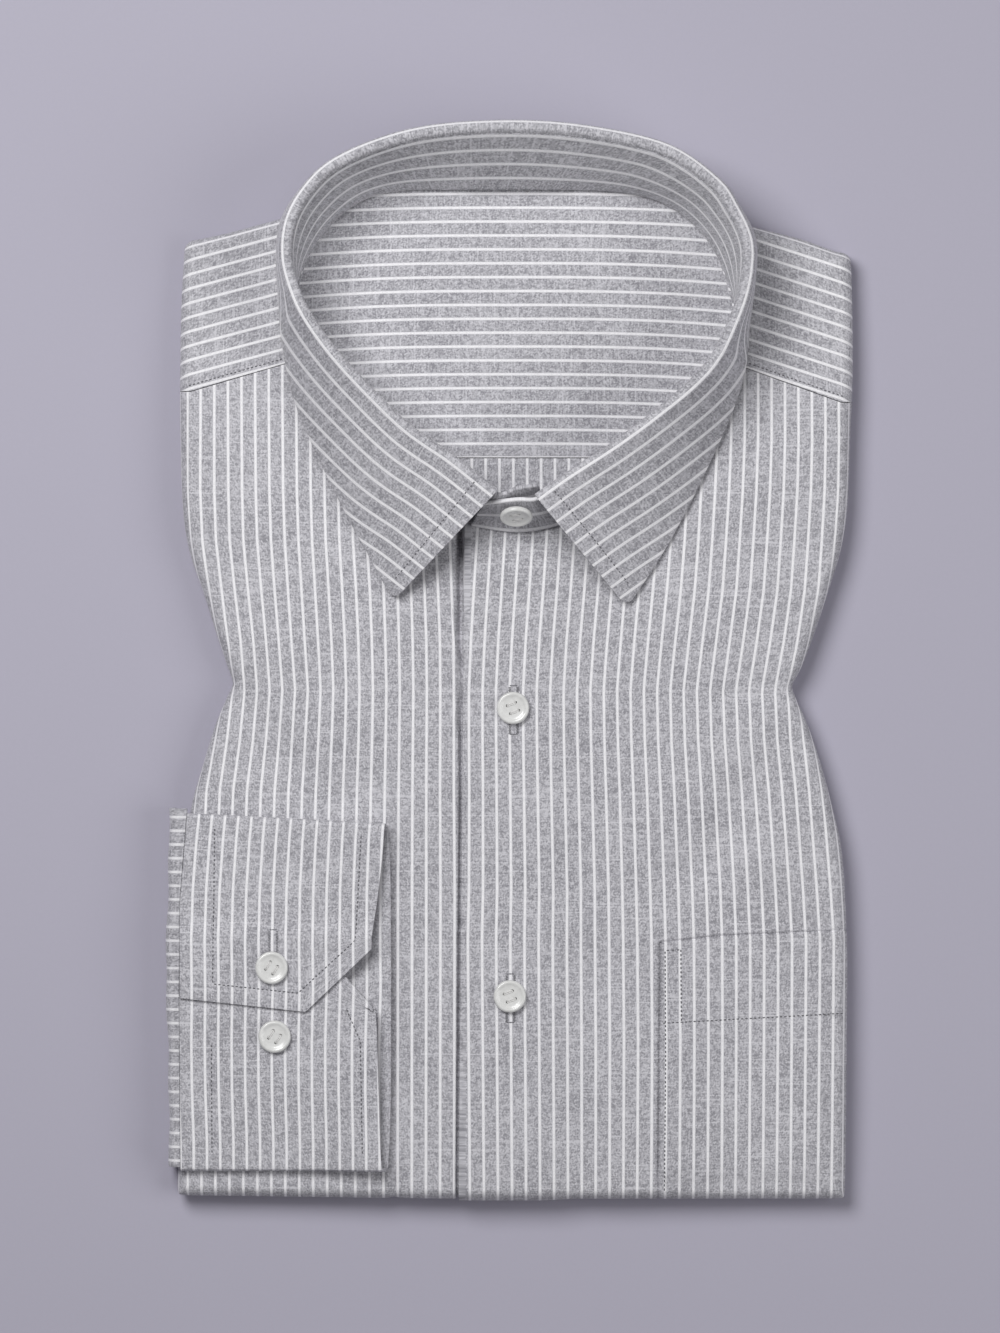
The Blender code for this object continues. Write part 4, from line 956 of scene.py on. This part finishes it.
def cuff_surface():
    """The cuff as a flattened tube: its path round the tube, smoothed, for each column from the sleeve to the hand."""
    y, height, hand_x = np.array(CUFF_PATH).T[..., None]
    share = even(0, 1, 1 / 66)
    seam_x = on_line(CUFF_SEAM, y)
    x = seam_x + share * (hand_x - seam_x)
    y = y - CUFF_TOP_DROP * share * ramp(y, CUFF_PATH[0][0], CUFF_FOLD_Y)
    z = height + cuff_loft(x) * ramp(height, *CUFF_LOFT_RAMP) + hand_lift(x)
    under_y, over_y = on_line(UNDER_FLAP_EDGE, x[0]), on_line(OVER_FLAP_EDGE, x[-1])
    before = [together(x[0], y[1] + step * (under_y - y[1]), z[0]) for step in UNDER_FLAP_STEPS]
    after = [together(x[-1], y[-1] + step * (over_y - y[-1]), z[-1]) for step in OVER_FLAP_STEPS]
    points = smooth(np.stack([*before, *together(x, y, z)[1:], *after]), 5)
    x, y = points[..., 0], points[..., 1]
    points[..., 2] += cuff_floor(x, y)
    table = np.array(CUFF_STRIPE_ROWS)[::-1]
    first, pitch = columns_at(y, table[:, 0], table[:, 1:].T)
    cloth = together((x - first) / pitch * STRIPE_PITCH, lengths(points).mean(1, keepdims=True))
    return points.transpose(1, 0, 2), cloth.transpose(1, 0, 2)


def sleeve_surface():
    """The sleeve's strip: its profile beside the cuff, carried down the side with a slight swell."""
    profile = smooth(SLEEVE_PATH, 8)
    out, z = profile.T
    y = even(*SLEEVE_ENDS, 2)[:, None]
    swell, middle, width = SLEEVE_SWELL
    wave, wavelength = SLEEVE_WAVE
    swell = swell * np.exp(-(((y - middle) / width) ** 2)) + wave * np.sin(y / wavelength)
    inner = on_line(CUFF_SEAM, y) - SLEEVE_GAP
    x = out - swell * ramp(out, *SLEEVE_FACE) + (inner - out[0]) * (1 - ramp(out, out[0], SLEEVE_FLAT_END))
    return together(x, y, z), together((SLEEVE_FIRST_STRIPE_Y - y) / SLEEVE_PITCH * STRIPE_PITCH, lengths(profile))


# ---- the hidden layers


def layers_loop():
    """Plan loop of the folds' inner line round the body, with outward directions that fan at the four corners."""
    (left_low, left_high), (right_low, right_high) = ((bottom_base(x), shoulder_base(x)) for x in YOKE_CORNERS_X)
    right = side_path(1, right_low, right_high, 150)
    left = side_path(0, left_high, left_low, 150)
    top = end_path(shoulder_base, right[-1, 0], left[0, 0], 90)
    low = end_path(bottom_base, left[-1, 0], right[0, 0], 90)
    paths, normals = [], []
    sides = (right, top, left, low)
    outward = [right_of(side) for side in sides]
    for k, (side, normal) in enumerate(zip(sides, outward)):
        start, after = (math.atan2(y, x) for x, y in (normal[-1], outward[(k + 1) % 4][0]))
        turn = (after - start + math.pi) % (2 * math.pi) - math.pi
        fan = start + turn * np.linspace(0, 1, 9)[1:-1]
        paths += [side[1:-1], np.repeat(side[-1:], len(fan), axis=0)]
        normals += [normal[1:-1], directions(fan)]
    return np.vstack(paths), np.vstack(normals)


def layers_surface():
    """The folded layers' edges: between two edge heights each layer bulges as half a sine, each a little unevenly."""
    base, outward = layers_loop()
    around = lengths(base)
    height = body_height(*base.T) - relief(*base.T)
    rows, (long, short) = list(HIDDEN_ROWS), LAYER_WAVES
    for layer, ((top, _), (foot, reach)) in enumerate(zip(LAYER_EDGES, LAYER_EDGES[1:]), 1):
        uneven = long * np.sin(around / (23 + 7 * layer) + 2.3 * layer) + short * np.sin(around / 9 + layer)
        for place in np.linspace(0.02, 0.98, LAYER_ROWS):
            bulge = (reach - LEAST_BULGE + uneven) * math.sin(math.pi * place) ** 0.6
            rows.append((top + (foot - top) * place, LEAST_BULGE + bulge))
    points, cloth = [], []
    for k, (share, reach) in enumerate(rows):
        points.append(np.column_stack([base + outward * np.broadcast_to(reach, around.shape)[:, None], height * share]))
        cloth.append(together(around, 0.7 * k))
    return np.stack(points)[:, ::-1], np.stack(cloth)[:, ::-1]


# ---- stitching

STITCH = np.array(  # one stitch lying along X, a spindle of four sides, 1 long, 1 wide and 1 high
    [(-0.5, 0, -0.3)]
    + [(x, side, z) for x in (-0.28, 0.28) for side, z in ((-0.5, 0), (0, 0.5), (0.5, 0), (0, -0.5))]
    + [(0.5, 0, -0.3)]
)
STITCH_FACES = (
    [(0, 1 + (k + 1) % 4, 1 + k) for k in range(4)]
    + [(1 + k, 1 + (k + 1) % 4, 5 + (k + 1) % 4, 5 + k) for k in range(4)]
    + [(9, 5 + k, 5 + (k + 1) % 4) for k in range(4)]
)


def stitches(middles, along, size):
    """Copies of the stitch: each point is middle + x along + y across + z up, for all the stitches at once."""
    along = unit(along)
    across = unit(np.cross(UP, along))
    axes = (along, across, np.cross(along, across))
    scaled = STITCH * size
    points = middles[:, None] + sum(scaled[None, :, k, None] * axis[:, None] for k, axis in enumerate(axes))
    return join((some, STITCH_FACES) for some in points)


def stitch_row(path, height=None):
    """Stitches end to end along a path of plan points on a height, or of points in space."""
    length = lengths(path[:, :2])
    count = max(2, int(length[-1] / (bpy.context.scene.shirt_sizes.stitch_pitch / MM)))
    at = (np.arange(count) + 0.5) * length[-1] / count
    start, end = (together(*columns_at(at + step, length, path.T)) for step in (-0.5, 0.5))
    if height:
        start, end = (np.column_stack([points, height(*points.T)]) for points in (start, end))
    return stitches((start + end) / 2 + (0, 0, STITCH_LIFT), end - start, STITCH_SIZE)


def over_pocket(x, y):
    """Height of the pocket's outer face, away from its folds."""
    return body_height(x, y) + pocket_rise(x, y, 0.7, 0.2)


def buttonhole(x, y, height):
    """Close cross stitches down both lips of the slit, with a bar over each end."""
    length, half, pitch = BUTTONHOLE
    rows = np.arange(-length / 2, length / 2, pitch)
    places = [(side * half + 0.1 * (k % 2), row) for side in (-1, 1) for k, row in enumerate(rows)]
    places += [(side, end) for end in (-length / 2 - 0.3, length / 2 + 0.3) for side in (-0.9, 0, 0.9)]
    middle = np.array(places) + (x, y)
    middle = np.column_stack([middle, height(*middle.T) + HOLE_STITCH_LIFT])
    return stitches(middle, np.tile((1, 0, 0), (len(middle), 1)), HOLE_STITCH_SIZE)


def leaf_stitch_path(points, side):
    """A line just inside the leaf's front edge, read off the leaf's own surface between its rows and columns."""
    grid = points[:, ::-1]
    rows = np.linspace(*LEAF_STITCH_ROWS, 60)
    places = leaf_places()
    columns = np.interp(np.linspace(*LEAF_STITCH_SECTIONS, 60), places, np.arange(len(places)))
    if side:
        columns = grid.shape[1] - 1 - columns
    low, left = np.floor(rows).astype(int), np.floor(columns).astype(int)
    down, over = (rows - low)[:, None], (columns - left)[:, None]
    upper, lower = (grid[row, left] * (1 - over) + grid[row, left + 1] * over for row in (low, low + 1))
    return upper * (1 - down) + lower * down


# ---- buttons


def capped(points):
    """The points of a tube, a row for each ring, and its faces with one over each end."""
    rings, sides = points.shape[:2]
    first = list(range(sides))
    faces = quads(rings, sides, close=True).tolist()
    return points.reshape(-1, 3), faces + [first[::-1], [(rings - 1) * sides + corner for corner in first]]


def blank():
    """The button's profile of radius and height turned round Z, closed at the axis."""
    radius, height = np.array(BUTTON_PROFILE[1:-1]).T[..., None]
    turn = np.linspace(0, 2 * math.pi, BUTTON_SEGMENTS, endpoint=False)
    return capped(together(radius * np.cos(turn), radius * np.sin(turn), height))


def drill():
    """Four upright pins through the blank."""
    turn = np.linspace(0, 2 * math.pi, HOLE_SEGMENTS, endpoint=False)
    edges = HOLE_SPREAD * directions(QUARTERS)[:, None] + HOLE_RADIUS * directions(turn)
    return join(capped(np.stack([together(*edge.T, z) for z in DRILL_ENDS])) for edge in edges)


def button_shape():
    """The turned blank with four holes drilled through, as points and faces."""
    made = []
    for name, shape in (("button_blank", blank()), ("button_drill", drill())):
        mesh = new_mesh(name, *shape)
        rework(mesh, face_out)
        made.append(new_object(name, mesh))
    cut = made[0].modifiers.new("Holes", "BOOLEAN")
    cut.operation = "DIFFERENCE"
    cut.object = made[1]
    bpy.context.view_layer.update()
    shape = bpy.data.meshes.new_from_object(made[0].evaluated_get(bpy.context.evaluated_depsgraph_get()))
    corner = np.empty(3 * len(shape.vertices))
    shape.vertices.foreach_get("co", corner)
    result = corner.reshape(-1, 3), [list(face.vertices) for face in shape.polygons]
    for helper in made:
        bpy.data.objects.remove(helper)
    bpy.data.meshes.remove(shape)
    return result


def thread_shape():
    """Two doubled threads across the holes: each an arc that dips into a hole at both ends, as a square tube."""
    share = np.linspace(0, 1, THREAD_POINTS)
    spread = HOLE_SPREAD / math.sqrt(2)
    low, rise = THREAD_RISE
    across = np.array([0, 1, 0])
    parts = []
    for y in (-spread - 0.25, -spread + 0.25, spread - 0.25, spread + 0.25):
        middle = together((spread + 0.1) * (2 * share - 1), y, low + rise * np.sin(math.pi * share) ** 0.5)
        up = np.cross(unit(np.gradient(middle, axis=0)), across)
        around = np.cos(QUARTERS)[:, None] * across + np.sin(QUARTERS)[:, None] * up[:, None]
        points, faces = capped(middle[:, None] + THREAD_RADIUS * around)
        parts.append((points, faces[:-2] + [face[::-1] for face in faces[-2:]]))
    return join(parts)


def button_places():
    """Each button's node with its middle, the turn of its holes and its tilt."""
    places = {}
    for name, (x, y) in FRONT_BUTTONS.items():
        places[name] = (x, y, over_front(x, y) + SEAM_GAP), BUTTON_TURN["front"], 0
    for name, (x, y, height) in CUFF_BUTTONS.items():
        places[name] = (x, y, body_height(x, y) + height + cuff_loft(x) + SEAM_GAP), BUTTON_TURN["cuff"], 0
    x, y, *top = STAND_ENDS["outer"][0]
    foot = np.array([x, y, cloth_under(x, y) + SEAM_GAP])
    tilt = math.atan2(top[2] - foot[2], top[1] - foot[1])
    face = np.array([0, -math.sin(tilt), math.cos(tilt)])
    centre = foot + (top - foot) * COLLAR_BUTTON_SHARE + face * COLLAR_BUTTON_OUT
    places["button_collar"] = centre, BUTTON_TURN["front"], tilt
    return places


def placed(points, middle, turn, tilt):
    """Points turned round Z, then tilted round X, then moved."""
    c, s = math.cos(turn), math.sin(turn)
    ct, st = math.cos(tilt), math.sin(tilt)
    spin = np.array([[c, -s, 0], [s, c, 0], [0, 0, 1]])
    tip = np.array([[1, 0, 0], [0, ct, -st], [0, st, ct]])
    return points @ (tip @ spin).T + middle


# ---- materials


def srgb(code):
    """A hex colour as linear values: the sRGB curve undone."""
    values = [int(code[k : k + 2], 16) / 255 for k in (0, 2, 4)]
    return tuple(v / 12.92 if v <= 0.04045 else ((v + 0.055) / 1.055) ** 2.4 for v in values) + (1.0,)


def shaded(colour, share):
    """A colour times a share, no brighter than white."""
    return tuple(min(1.0, share * value) for value in colour[:3]) + (1.0,)


def feed(tree, node, inputs):
    """Links or sets a node's inputs."""
    for key, value in inputs.items():
        if isinstance(value, bpy.types.NodeSocket):
            tree.links.new(value, node.inputs[key])
        else:
            node.inputs[key].default_value = value


def add_node(tree, kind, inputs, output=0, **settings):
    """One node with its settings, values and links; gives the named output."""
    made = tree.nodes.new("ShaderNode" + kind)
    for key, value in settings.items():
        setattr(made, key, value)
    feed(tree, made, inputs)
    return made.outputs[output]


def add_mix(tree, share, start, end):
    """A colour between two others."""
    return add_node(tree, "Mix", {0: share, 6: start, 7: end}, 2, data_type="RGBA")


def add_math(tree, operation, *values):
    """One step of arithmetic."""
    return add_node(tree, "Math", dict(enumerate(values)), operation=operation)


def new_material(name, sockets):
    """A material with its principled shader's own sockets set."""
    material = bpy.data.materials.new(name)
    material.use_nodes = True
    tree = material.node_tree
    shader = tree.nodes["Principled BSDF"]
    feed(tree, shader, sockets)
    return material, tree, shader


def end_on_end_cotton(name="end_on_end_cotton_shirting"):
    """Woven end-on-end cotton poplin: white and dark yarns alternate, so the cloth reads as a heathered grey.

    The yarns are 0.25 mm apart, too fine to show, so the flecks are drawn 0.5 mm wide; the slubs are 7 to 16 mm long.
    The stripes are bundles of white ends, 0.9 mm wide. Cotton is matt with a faint nap.
    """
    found = bpy.data.materials.get(name)
    if found:
        return found
    colours = bpy.context.scene.shirt_colours
    stripe_width = bpy.context.scene.shirt_sizes.stripe_width
    light, dark, white = (tuple(colour) for colour in (colours.light_yarn, colours.dark_yarn, colours.stripe))
    matt = {"Roughness": 0.86, "Specular IOR Level": 0.28, "Sheen Weight": 0.22, "Sheen Roughness": 0.45, "IOR": 1.47}
    material, tree, shader = new_material(name, matt)
    cloth = add_node(tree, "UVMap", {}, "UV", uv_map="cloth")

    def cells(across, along, turn=0.0):
        """White noise of the cloth's place rounded down to cells: one random value for each."""
        place = add_node(tree, "Mapping", {"Vector": cloth, "Rotation": (0, 0, turn)})
        place = add_node(tree, "VectorMath", {0: place, 1: (1 / across, 1 / along, 1)}, operation="MULTIPLY")
        place = add_node(tree, "VectorMath", {0: place}, operation="FLOOR")
        return add_node(tree, "TexWhiteNoise", {"Vector": place}, "Value", noise_dimensions="2D")

    def weigh(value, weight, rest):
        """rest + (value - 0.5) * weight"""
        return add_math(tree, "MULTIPLY_ADD", add_math(tree, "ADD", value, -0.5), weight, rest)

    def slubs(value, rare, strength, rest):
        """rest, lightened by strength where a cell's value is above rare, flecked like the rest of the cloth."""
        thick = add_node(tree, "MapRange", {0: value, 1: rare, 2: rare + 0.03, 3: 0.0, 4: strength})
        return add_math(tree, "MULTIPLY_ADD", thick, add_math(tree, "ADD", fleck, 0.6), rest)

    fleck = cells(0.00046, 0.00052, math.radians(32))
    place = add_node(tree, "Mapping", {"Vector": cloth, "Scale": (1 / 0.03, 1 / 0.02, 1)})
    broad = add_node(tree, "TexNoise", {"Vector": place, "Scale": 1.0, "Detail": 2.0}, noise_dimensions="2D")
    mix = weigh(fleck, 0.85, 0.5)
    mix = weigh(cells(0.00047, 0.0021), 0.3, mix)
    mix = weigh(cells(0.0023, 0.00047), 0.4, mix)
    mix = weigh(broad, 0.42, mix)
    for across, along, rare, strength in SLUBS:
        mix = slubs(cells(across, along), rare, strength, mix)
    mix = add_node(tree, "Clamp", {0: mix})
    ground = add_mix(tree, mix, dark, light)
    across = add_node(tree, "SeparateXYZ", {0: cloth})
    number = add_math(tree, "MULTIPLY", across, 1 / (STRIPE_PITCH * MM))
    away = weigh(fleck, 0.05, add_math(tree, "PINGPONG", number, 0.5))
    half = 0.5 * stripe_width / (STRIPE_PITCH * MM)
    edge = {0: away, 1: half + 0.025, 2: half - 0.025, 3: 0.0, 4: 0.97}
    stripe = add_node(tree, "MapRange", edge, interpolation_type="SMOOTHSTEP")
    ends = add_mix(tree, weigh(fleck, 0.45, 0.85), light, white)
    height = weigh(stripe, 0.3, mix)
    bump = add_node(tree, "Bump", {"Height": height, "Strength": 0.25, "Distance": 0.00015})
    feed(tree, shader, {"Base Color": add_mix(tree, stripe, ground, ends), "Normal": bump})
    return material


def spun_thread(name, code, coarse, shade=0.62):
    """Spun polyester sewing thread: two plies twisted, with slanting darker bands painted on as the shade in the
    grooves between the plies; a soft satin.
    """
    satin = {"Roughness": 0.62, "Sheen Weight": 0.3, "Sheen Roughness": 0.5, "Specular IOR Level": 0.4}
    material, tree, shader = new_material(name, satin)
    place = add_node(tree, "TexCoord", {}, "Object")
    bands = {"Vector": place, "Scale": 2 * math.pi / coarse / 20, "Distortion": 1.0}
    # slanting bands of painted shade, as in the grooves between the twisted plies; shade sets how dark they are
    ply_groove_shade = add_node(tree, "TexWave", bands, "Fac", bands_direction="DIAGONAL")
    feed(tree, shader, {"Base Color": add_mix(tree, ply_groove_shade, shaded(srgb(code), shade), srgb(code))})
    return material


def pearl_polyester():
    """Cast polyester with pearl flake, turned and tumbled: milky, with faint cloudy bands and a polished coat."""
    polished = {"Coat Weight": 0.35, "Coat Roughness": 0.12, "IOR": 1.54}
    milky = {"Subsurface Weight": 0.08, "Subsurface Radius": (0.002, 0.002, 0.002)}
    material, tree, shader = new_material("pearl_polyester", {**polished, **milky})
    place = add_node(tree, "TexCoord", {}, "Object")
    swirl = {"Vector": place, "Scale": 320.0, "Detail": 3.0, "Roughness": 0.5, "Distortion": 1.6}
    cloud = add_node(tree, "TexNoise", swirl)
    spread = add_node(tree, "MapRange", {0: cloud, 1: 0.35, 2: 0.68})
    pearl = tuple(bpy.context.scene.shirt_colours.button)
    rough = add_node(tree, "MapRange", {0: cloud, 1: 0.3, 2: 0.7, 3: 0.36, 4: 0.22})
    feed(tree, shader, {"Base Color": add_mix(tree, spread, shaded(pearl, 0.88), pearl), "Roughness": rough})
    return material


def painted_board():
    """Smooth board in matt emulsion, rolled on: an even pale lavender grey with a very faint stipple."""
    material, tree, shader = new_material("matt_painted_board", {"Roughness": 0.9, "Specular IOR Level": 0.2})
    place = add_node(tree, "TexCoord", {}, "Object")
    stipple = add_node(tree, "TexNoise", {"Vector": place, "Scale": 900.0, "Detail": 2.0})
    base = tuple(bpy.context.scene.shirt_colours.board)
    feed(tree, shader, {"Base Color": add_mix(tree, stipple, base, shaded(base, 1.03))})
    return material


# ---- settings


def colour_setting(name, description, code):
    """A colour with its starting value as a hex code."""
    return bpy.props.FloatVectorProperty(
        name=name, description=description, subtype="COLOR", size=4, min=0.0, max=1.0, default=srgb(code)
    )


def size_setting(name, description, default, least, most, unit="LENGTH"):
    """A size in metres, or a power in watts."""
    return bpy.props.FloatProperty(
        name=name, description=description, default=default, min=least, max=most, unit=unit
    )


class ShirtSizes(bpy.types.PropertyGroup):
    """Sizes that change the shirt's look but not its shape."""

    cloth_wall: size_setting("Cloth wall", "Thickness of a cloth shell", 0.0011, 0.0003, 0.0015)
    stripe_width: size_setting("Stripe width", "Width of a white stripe", 0.0009, 0.0002, 0.004)
    stitch_pitch: size_setting("Stitch pitch", "From one topstitch to the next", 0.0015, 0.001, 0.006)
    key_power: size_setting("Key light", "Power of the soft key light", 13.0, 0.0, 500.0, "POWER")


class ShirtColours(bpy.types.PropertyGroup):
    """Colours of the yarns, the buttons and the board."""

    light_yarn: colour_setting("Light yarn", "The pale yarn of the ground", "D1D0D5")
    dark_yarn: colour_setting("Dark yarn", "The dark yarn of the ground", "939298")
    stripe: colour_setting("Stripe", "The white ends of the stripes", "FBFAFC")
    button: colour_setting("Button", "The pearl buttons", "E9E9E7")
    board: colour_setting("Board", "The board that the shirt lies on", "B4B1BF")


class ShirtStep(bpy.types.Operator):
    """A step that makes some of the shirt's pieces."""

    bl_options = {"REGISTER", "UNDO"}

    def execute(self, context):
        self.make()
        return {"FINISHED"}


class SHIRT_OT_stage(ShirtStep):
    """Lays the board, sets the soft lights and hangs the camera straight over the shirt"""

    bl_idname = "shirt.stage"
    bl_label = "Stage"

    def make(self):
        scene = bpy.context.scene
        corners = [(x * BOARD_HALF, y * BOARD_HALF, BOARD_Z) for x, y in ((-1, -1), (1, -1), (1, 1), (-1, 1))]
        mesh = new_mesh("board", corners, [(0, 1, 2, 3)])
        mesh.materials.append(painted_board())
        new_object("board", mesh)
        for name, (x, y, z), size, share in LIGHTS:
            light = bpy.data.lights.new(name, "AREA")
            light.shape = "DISK"
            light.size = size
            light.energy = share * scene.shirt_sizes.key_power
            lamp = new_object(name, light)
            lamp.location = (x, y, z)
            lamp.rotation_euler = (math.acos(z / math.hypot(x, y, z)), 0, math.atan2(y, x) + math.pi / 2)
        world = bpy.data.worlds.new("soft studio")
        world.use_nodes = True
        feed(world.node_tree, world.node_tree.nodes["Background"], {0: srgb("F1F0F6"), 1: 0.14})
        scene.world = world
        camera = bpy.data.cameras.new("overhead")
        camera.sensor_width = 36
        camera.lens = 185.2
        camera.clip_start = 0.1
        camera.clip_end = 20
        scene.camera = new_object("overhead", camera)
        scene.camera.location = (-0.00385, -0.0021, 2.416)
        scene.view_settings.view_transform = "Standard"


class SHIRT_OT_layers(ShirtStep):
    """Makes the edges of the hidden layers, which show all round under the folds"""

    bl_idname = "shirt.layers"
    bl_label = "Folded layers"

    def make(self):
        points, cloth = layers_surface()
        rows, columns = points.shape[:2]
        turn = np.roll(np.arange(columns), -LOW_SIDE_MIDDLE)
        near, far = turn[: columns // 2], turn[::-1][: columns // 2]
        cap = together(near[:-1], near[1:], far[1:], far[:-1])
        faces = np.vstack([quads(rows, columns, close=True), cap[:, ::-1], cap + (rows - 1) * columns])
        cotton = end_on_end_cotton()
        add_mesh(
            "folded_layers", points, faces, cotton, "hidden_cloth", cloth, "folded_core", face_out, CREASE_ANGLE
        )


class SHIRT_OT_fronts(ShirtStep):
    """Makes the two fronts, lapped at the closure and folded round the sides and the bottom"""

    bl_idname = "shirt.fronts"
    bl_label = "Fronts"

    def make(self):
        by_closure, by_cuff = even(0.165, 0.25, 0.0024), even(0.36, 0.44, 0.005)  # finer, for the two grooves
        shares = np.unique(np.concatenate([even(0, 1, 1 / 56), by_closure, by_cuff]))
        right = right_surface(shares, front_ups())
        add_cloth("right_front", right, "front_right", flip=True)
        shares = np.union1d(even(0, 1, 1 / 62), POCKET_SHARE + even(-0.02, 0.02, 0.003))
        ups = np.union1d(front_ups(), pocket_mouth() + even(-0.012, 0.012, 0.0016))
        points, cloth = left_surface(shares, ups, left_rise)
        cloth[..., 0] = unstriped_edge(cloth[..., 0])
        add_cloth("left_front", (points, cloth), "front_left")


class SHIRT_OT_pocket(ShirtStep):
    """Makes the chest pocket, laid on the left front and folded away with it"""

    bl_idname = "shirt.pocket"
    bl_label = "Pocket"

    def make(self):
        surface = left_surface(even(POCKET_SHARE, 1, 1 / 60), even(0, pocket_mouth(), 1 / 160), pocket_rise)
        add_cloth("chest_pocket", surface, "pocket")


class SHIRT_OT_yokes(ShirtStep):
    """Makes the outer yoke, and the inner yoke and back seen down the neck"""

    bl_idname = "shirt.yokes"
    bl_label = "Yokes and back"

    def make(self):
        outer = yoke_surface()
        add_cloth("outer_yoke", outer, "yoke_outer", flip=True, change=merge_points)
        back, inner = (inside_surface(rows) for rows in inside_rows())
        x, y, _ = np.moveaxis(back, -1, 0)
        cloth = together((x - BACK_FIRST_STRIPE_X) * STRIPE_PITCH / INNER_PITCH, y)
        add_cloth("back_below_yoke", (back, cloth), "back_panel")
        x, y, _ = np.moveaxis(inner, -1, 0)
        droop = INNER_DROOP * (np.abs(x) / 70) ** 3
        cloth = together((y + droop - INNER_FIRST_STRIPE_Y) / INNER_PITCH * STRIPE_PITCH, x)
        add_cloth("inner_yoke", (inner, cloth), "yoke_inner")


class SHIRT_OT_collar(ShirtStep):
    """Makes the collar's stand and the leaf turned over it"""

    bl_idname = "shirt.collar"
    bl_label = "Collar"

    def make(self):
        leaf, stand = leaf_surface(), stand_surface()
        add_cloth("collar_leaf_shell", leaf, "collar_leaf")
        add_cloth("stand_shell", stand, "collar_stand", thicker=0.3)


class SHIRT_OT_cuff(ShirtStep):
    """Makes the cuff laid on the right front, and the strip of sleeve beside it"""

    bl_idname = "shirt.cuff"
    bl_label = "Cuff and sleeve"

    def make(self):
        add_cloth("folded_cuff", cuff_surface(), "cuff")
        add_cloth("sleeve_strip", sleeve_surface(), "sleeve")


class SHIRT_OT_buttons(ShirtStep):
    """Makes the five buttons that show and the thread through their holes"""

    bl_idname = "shirt.buttons"
    bl_label = "Buttons"

    def make(self):
        pearl, (points, faces) = pearl_polyester(), button_shape()
        thread_points, thread_faces = thread_shape()
        threads, sharp = [], math.radians(40)
        for node, place in button_places().items():
            add_mesh("pearl_" + node, placed(points, *place), faces, pearl, "button", node=node, sharp=sharp)
            threads.append((placed(thread_points, *place), thread_faces))
        add_mesh("button_threads", *join(threads), spun_thread("button_thread", "E6E5E3", 0.0004, 0.9), "button")


class SHIRT_OT_stitching(ShirtStep):
    """Sews the topstitching and the buttonholes"""

    bl_idname = "shirt.stitching"
    bl_label = "Stitching"

    def make(self):
        leaf, _ = leaf_surface()
        rows = [stitch_row(leaf_stitch_path(leaf, side)) for side in (0, 1)]
        rows += [stitch_row(dense(path), cuff_top) for path in CUFF_STITCHES]
        rows += [stitch_row(dense(path), over_pocket) for path in POCKET_STITCHES]
        for side, inward in enumerate((SEAM_STITCH_INSET, -SEAM_STITCH_INSET)):
            path = [neck_edge([YOKE_SEAM_SECTIONS[1 - side]])[0], side_seam_end(side)]
            path = np.array(path) + SEAM_STITCH_OFFSET
            path[1, 0] += inward
            rows.append(stitch_row(dense(path), body_height))
        # dark grey topstitch thread: a thread near the cloth's grey, darkened as painted shade of the sunk stitches and
        # their needle holes
        add_mesh("topstitching", *join(rows), spun_thread("topstitch_thread_painted_shade", "6F6E74", 0.0005), "shirt_cloth")
        holes = [buttonhole(x + 0.2, y - 0.7, over_front) for x, y in FRONT_BUTTONS.values()]
        holes.append(buttonhole(*CUFF_BUTTONHOLE, cuff_top))
        add_mesh("buttonholes", *join(holes), spun_thread("buttonhole_thread", "8B8A90", 0.0005), "shirt_cloth")


STEPS = (
    SHIRT_OT_stage,
    SHIRT_OT_layers,
    SHIRT_OT_fronts,
    SHIRT_OT_pocket,
    SHIRT_OT_yokes,
    SHIRT_OT_collar,
    SHIRT_OT_cuff,
    SHIRT_OT_buttons,
    SHIRT_OT_stitching,
)


class SHIRT_PT_panel(bpy.types.Panel):
    """Lists the sizes, the colours and the steps."""

    bl_idname = "SHIRT_PT_panel"
    bl_label = "Folded dress shirt"
    bl_space_type = "VIEW_3D"
    bl_region_type = "UI"
    bl_category = "Shirt"

    def draw(self, context):
        for group in (context.scene.shirt_sizes, context.scene.shirt_colours):
            for key in group.__annotations__:
                self.layout.prop(group, key)
        for step in STEPS:
            self.layout.operator(step.bl_idname)


CLASSES = (ShirtSizes, ShirtColours, *STEPS, SHIRT_PT_panel)


def register():
    for each in CLASSES:
        bpy.utils.register_class(each)
    bpy.types.Scene.shirt_sizes = bpy.props.PointerProperty(type=ShirtSizes)
    bpy.types.Scene.shirt_colours = bpy.props.PointerProperty(type=ShirtColours)


def unregister():
    del bpy.types.Scene.shirt_colours
    del bpy.types.Scene.shirt_sizes
    for each in reversed(CLASSES):
        bpy.utils.unregister_class(each)


def main():
    register()
    bpy.ops.shirt.stage()
    bpy.ops.shirt.layers()
    bpy.ops.shirt.fronts()
    bpy.ops.shirt.pocket()
    bpy.ops.shirt.yokes()
    bpy.ops.shirt.collar()
    bpy.ops.shirt.cuff()
    bpy.ops.shirt.buttons()
    bpy.ops.shirt.stitching()


if __name__ == "__main__":
    main()
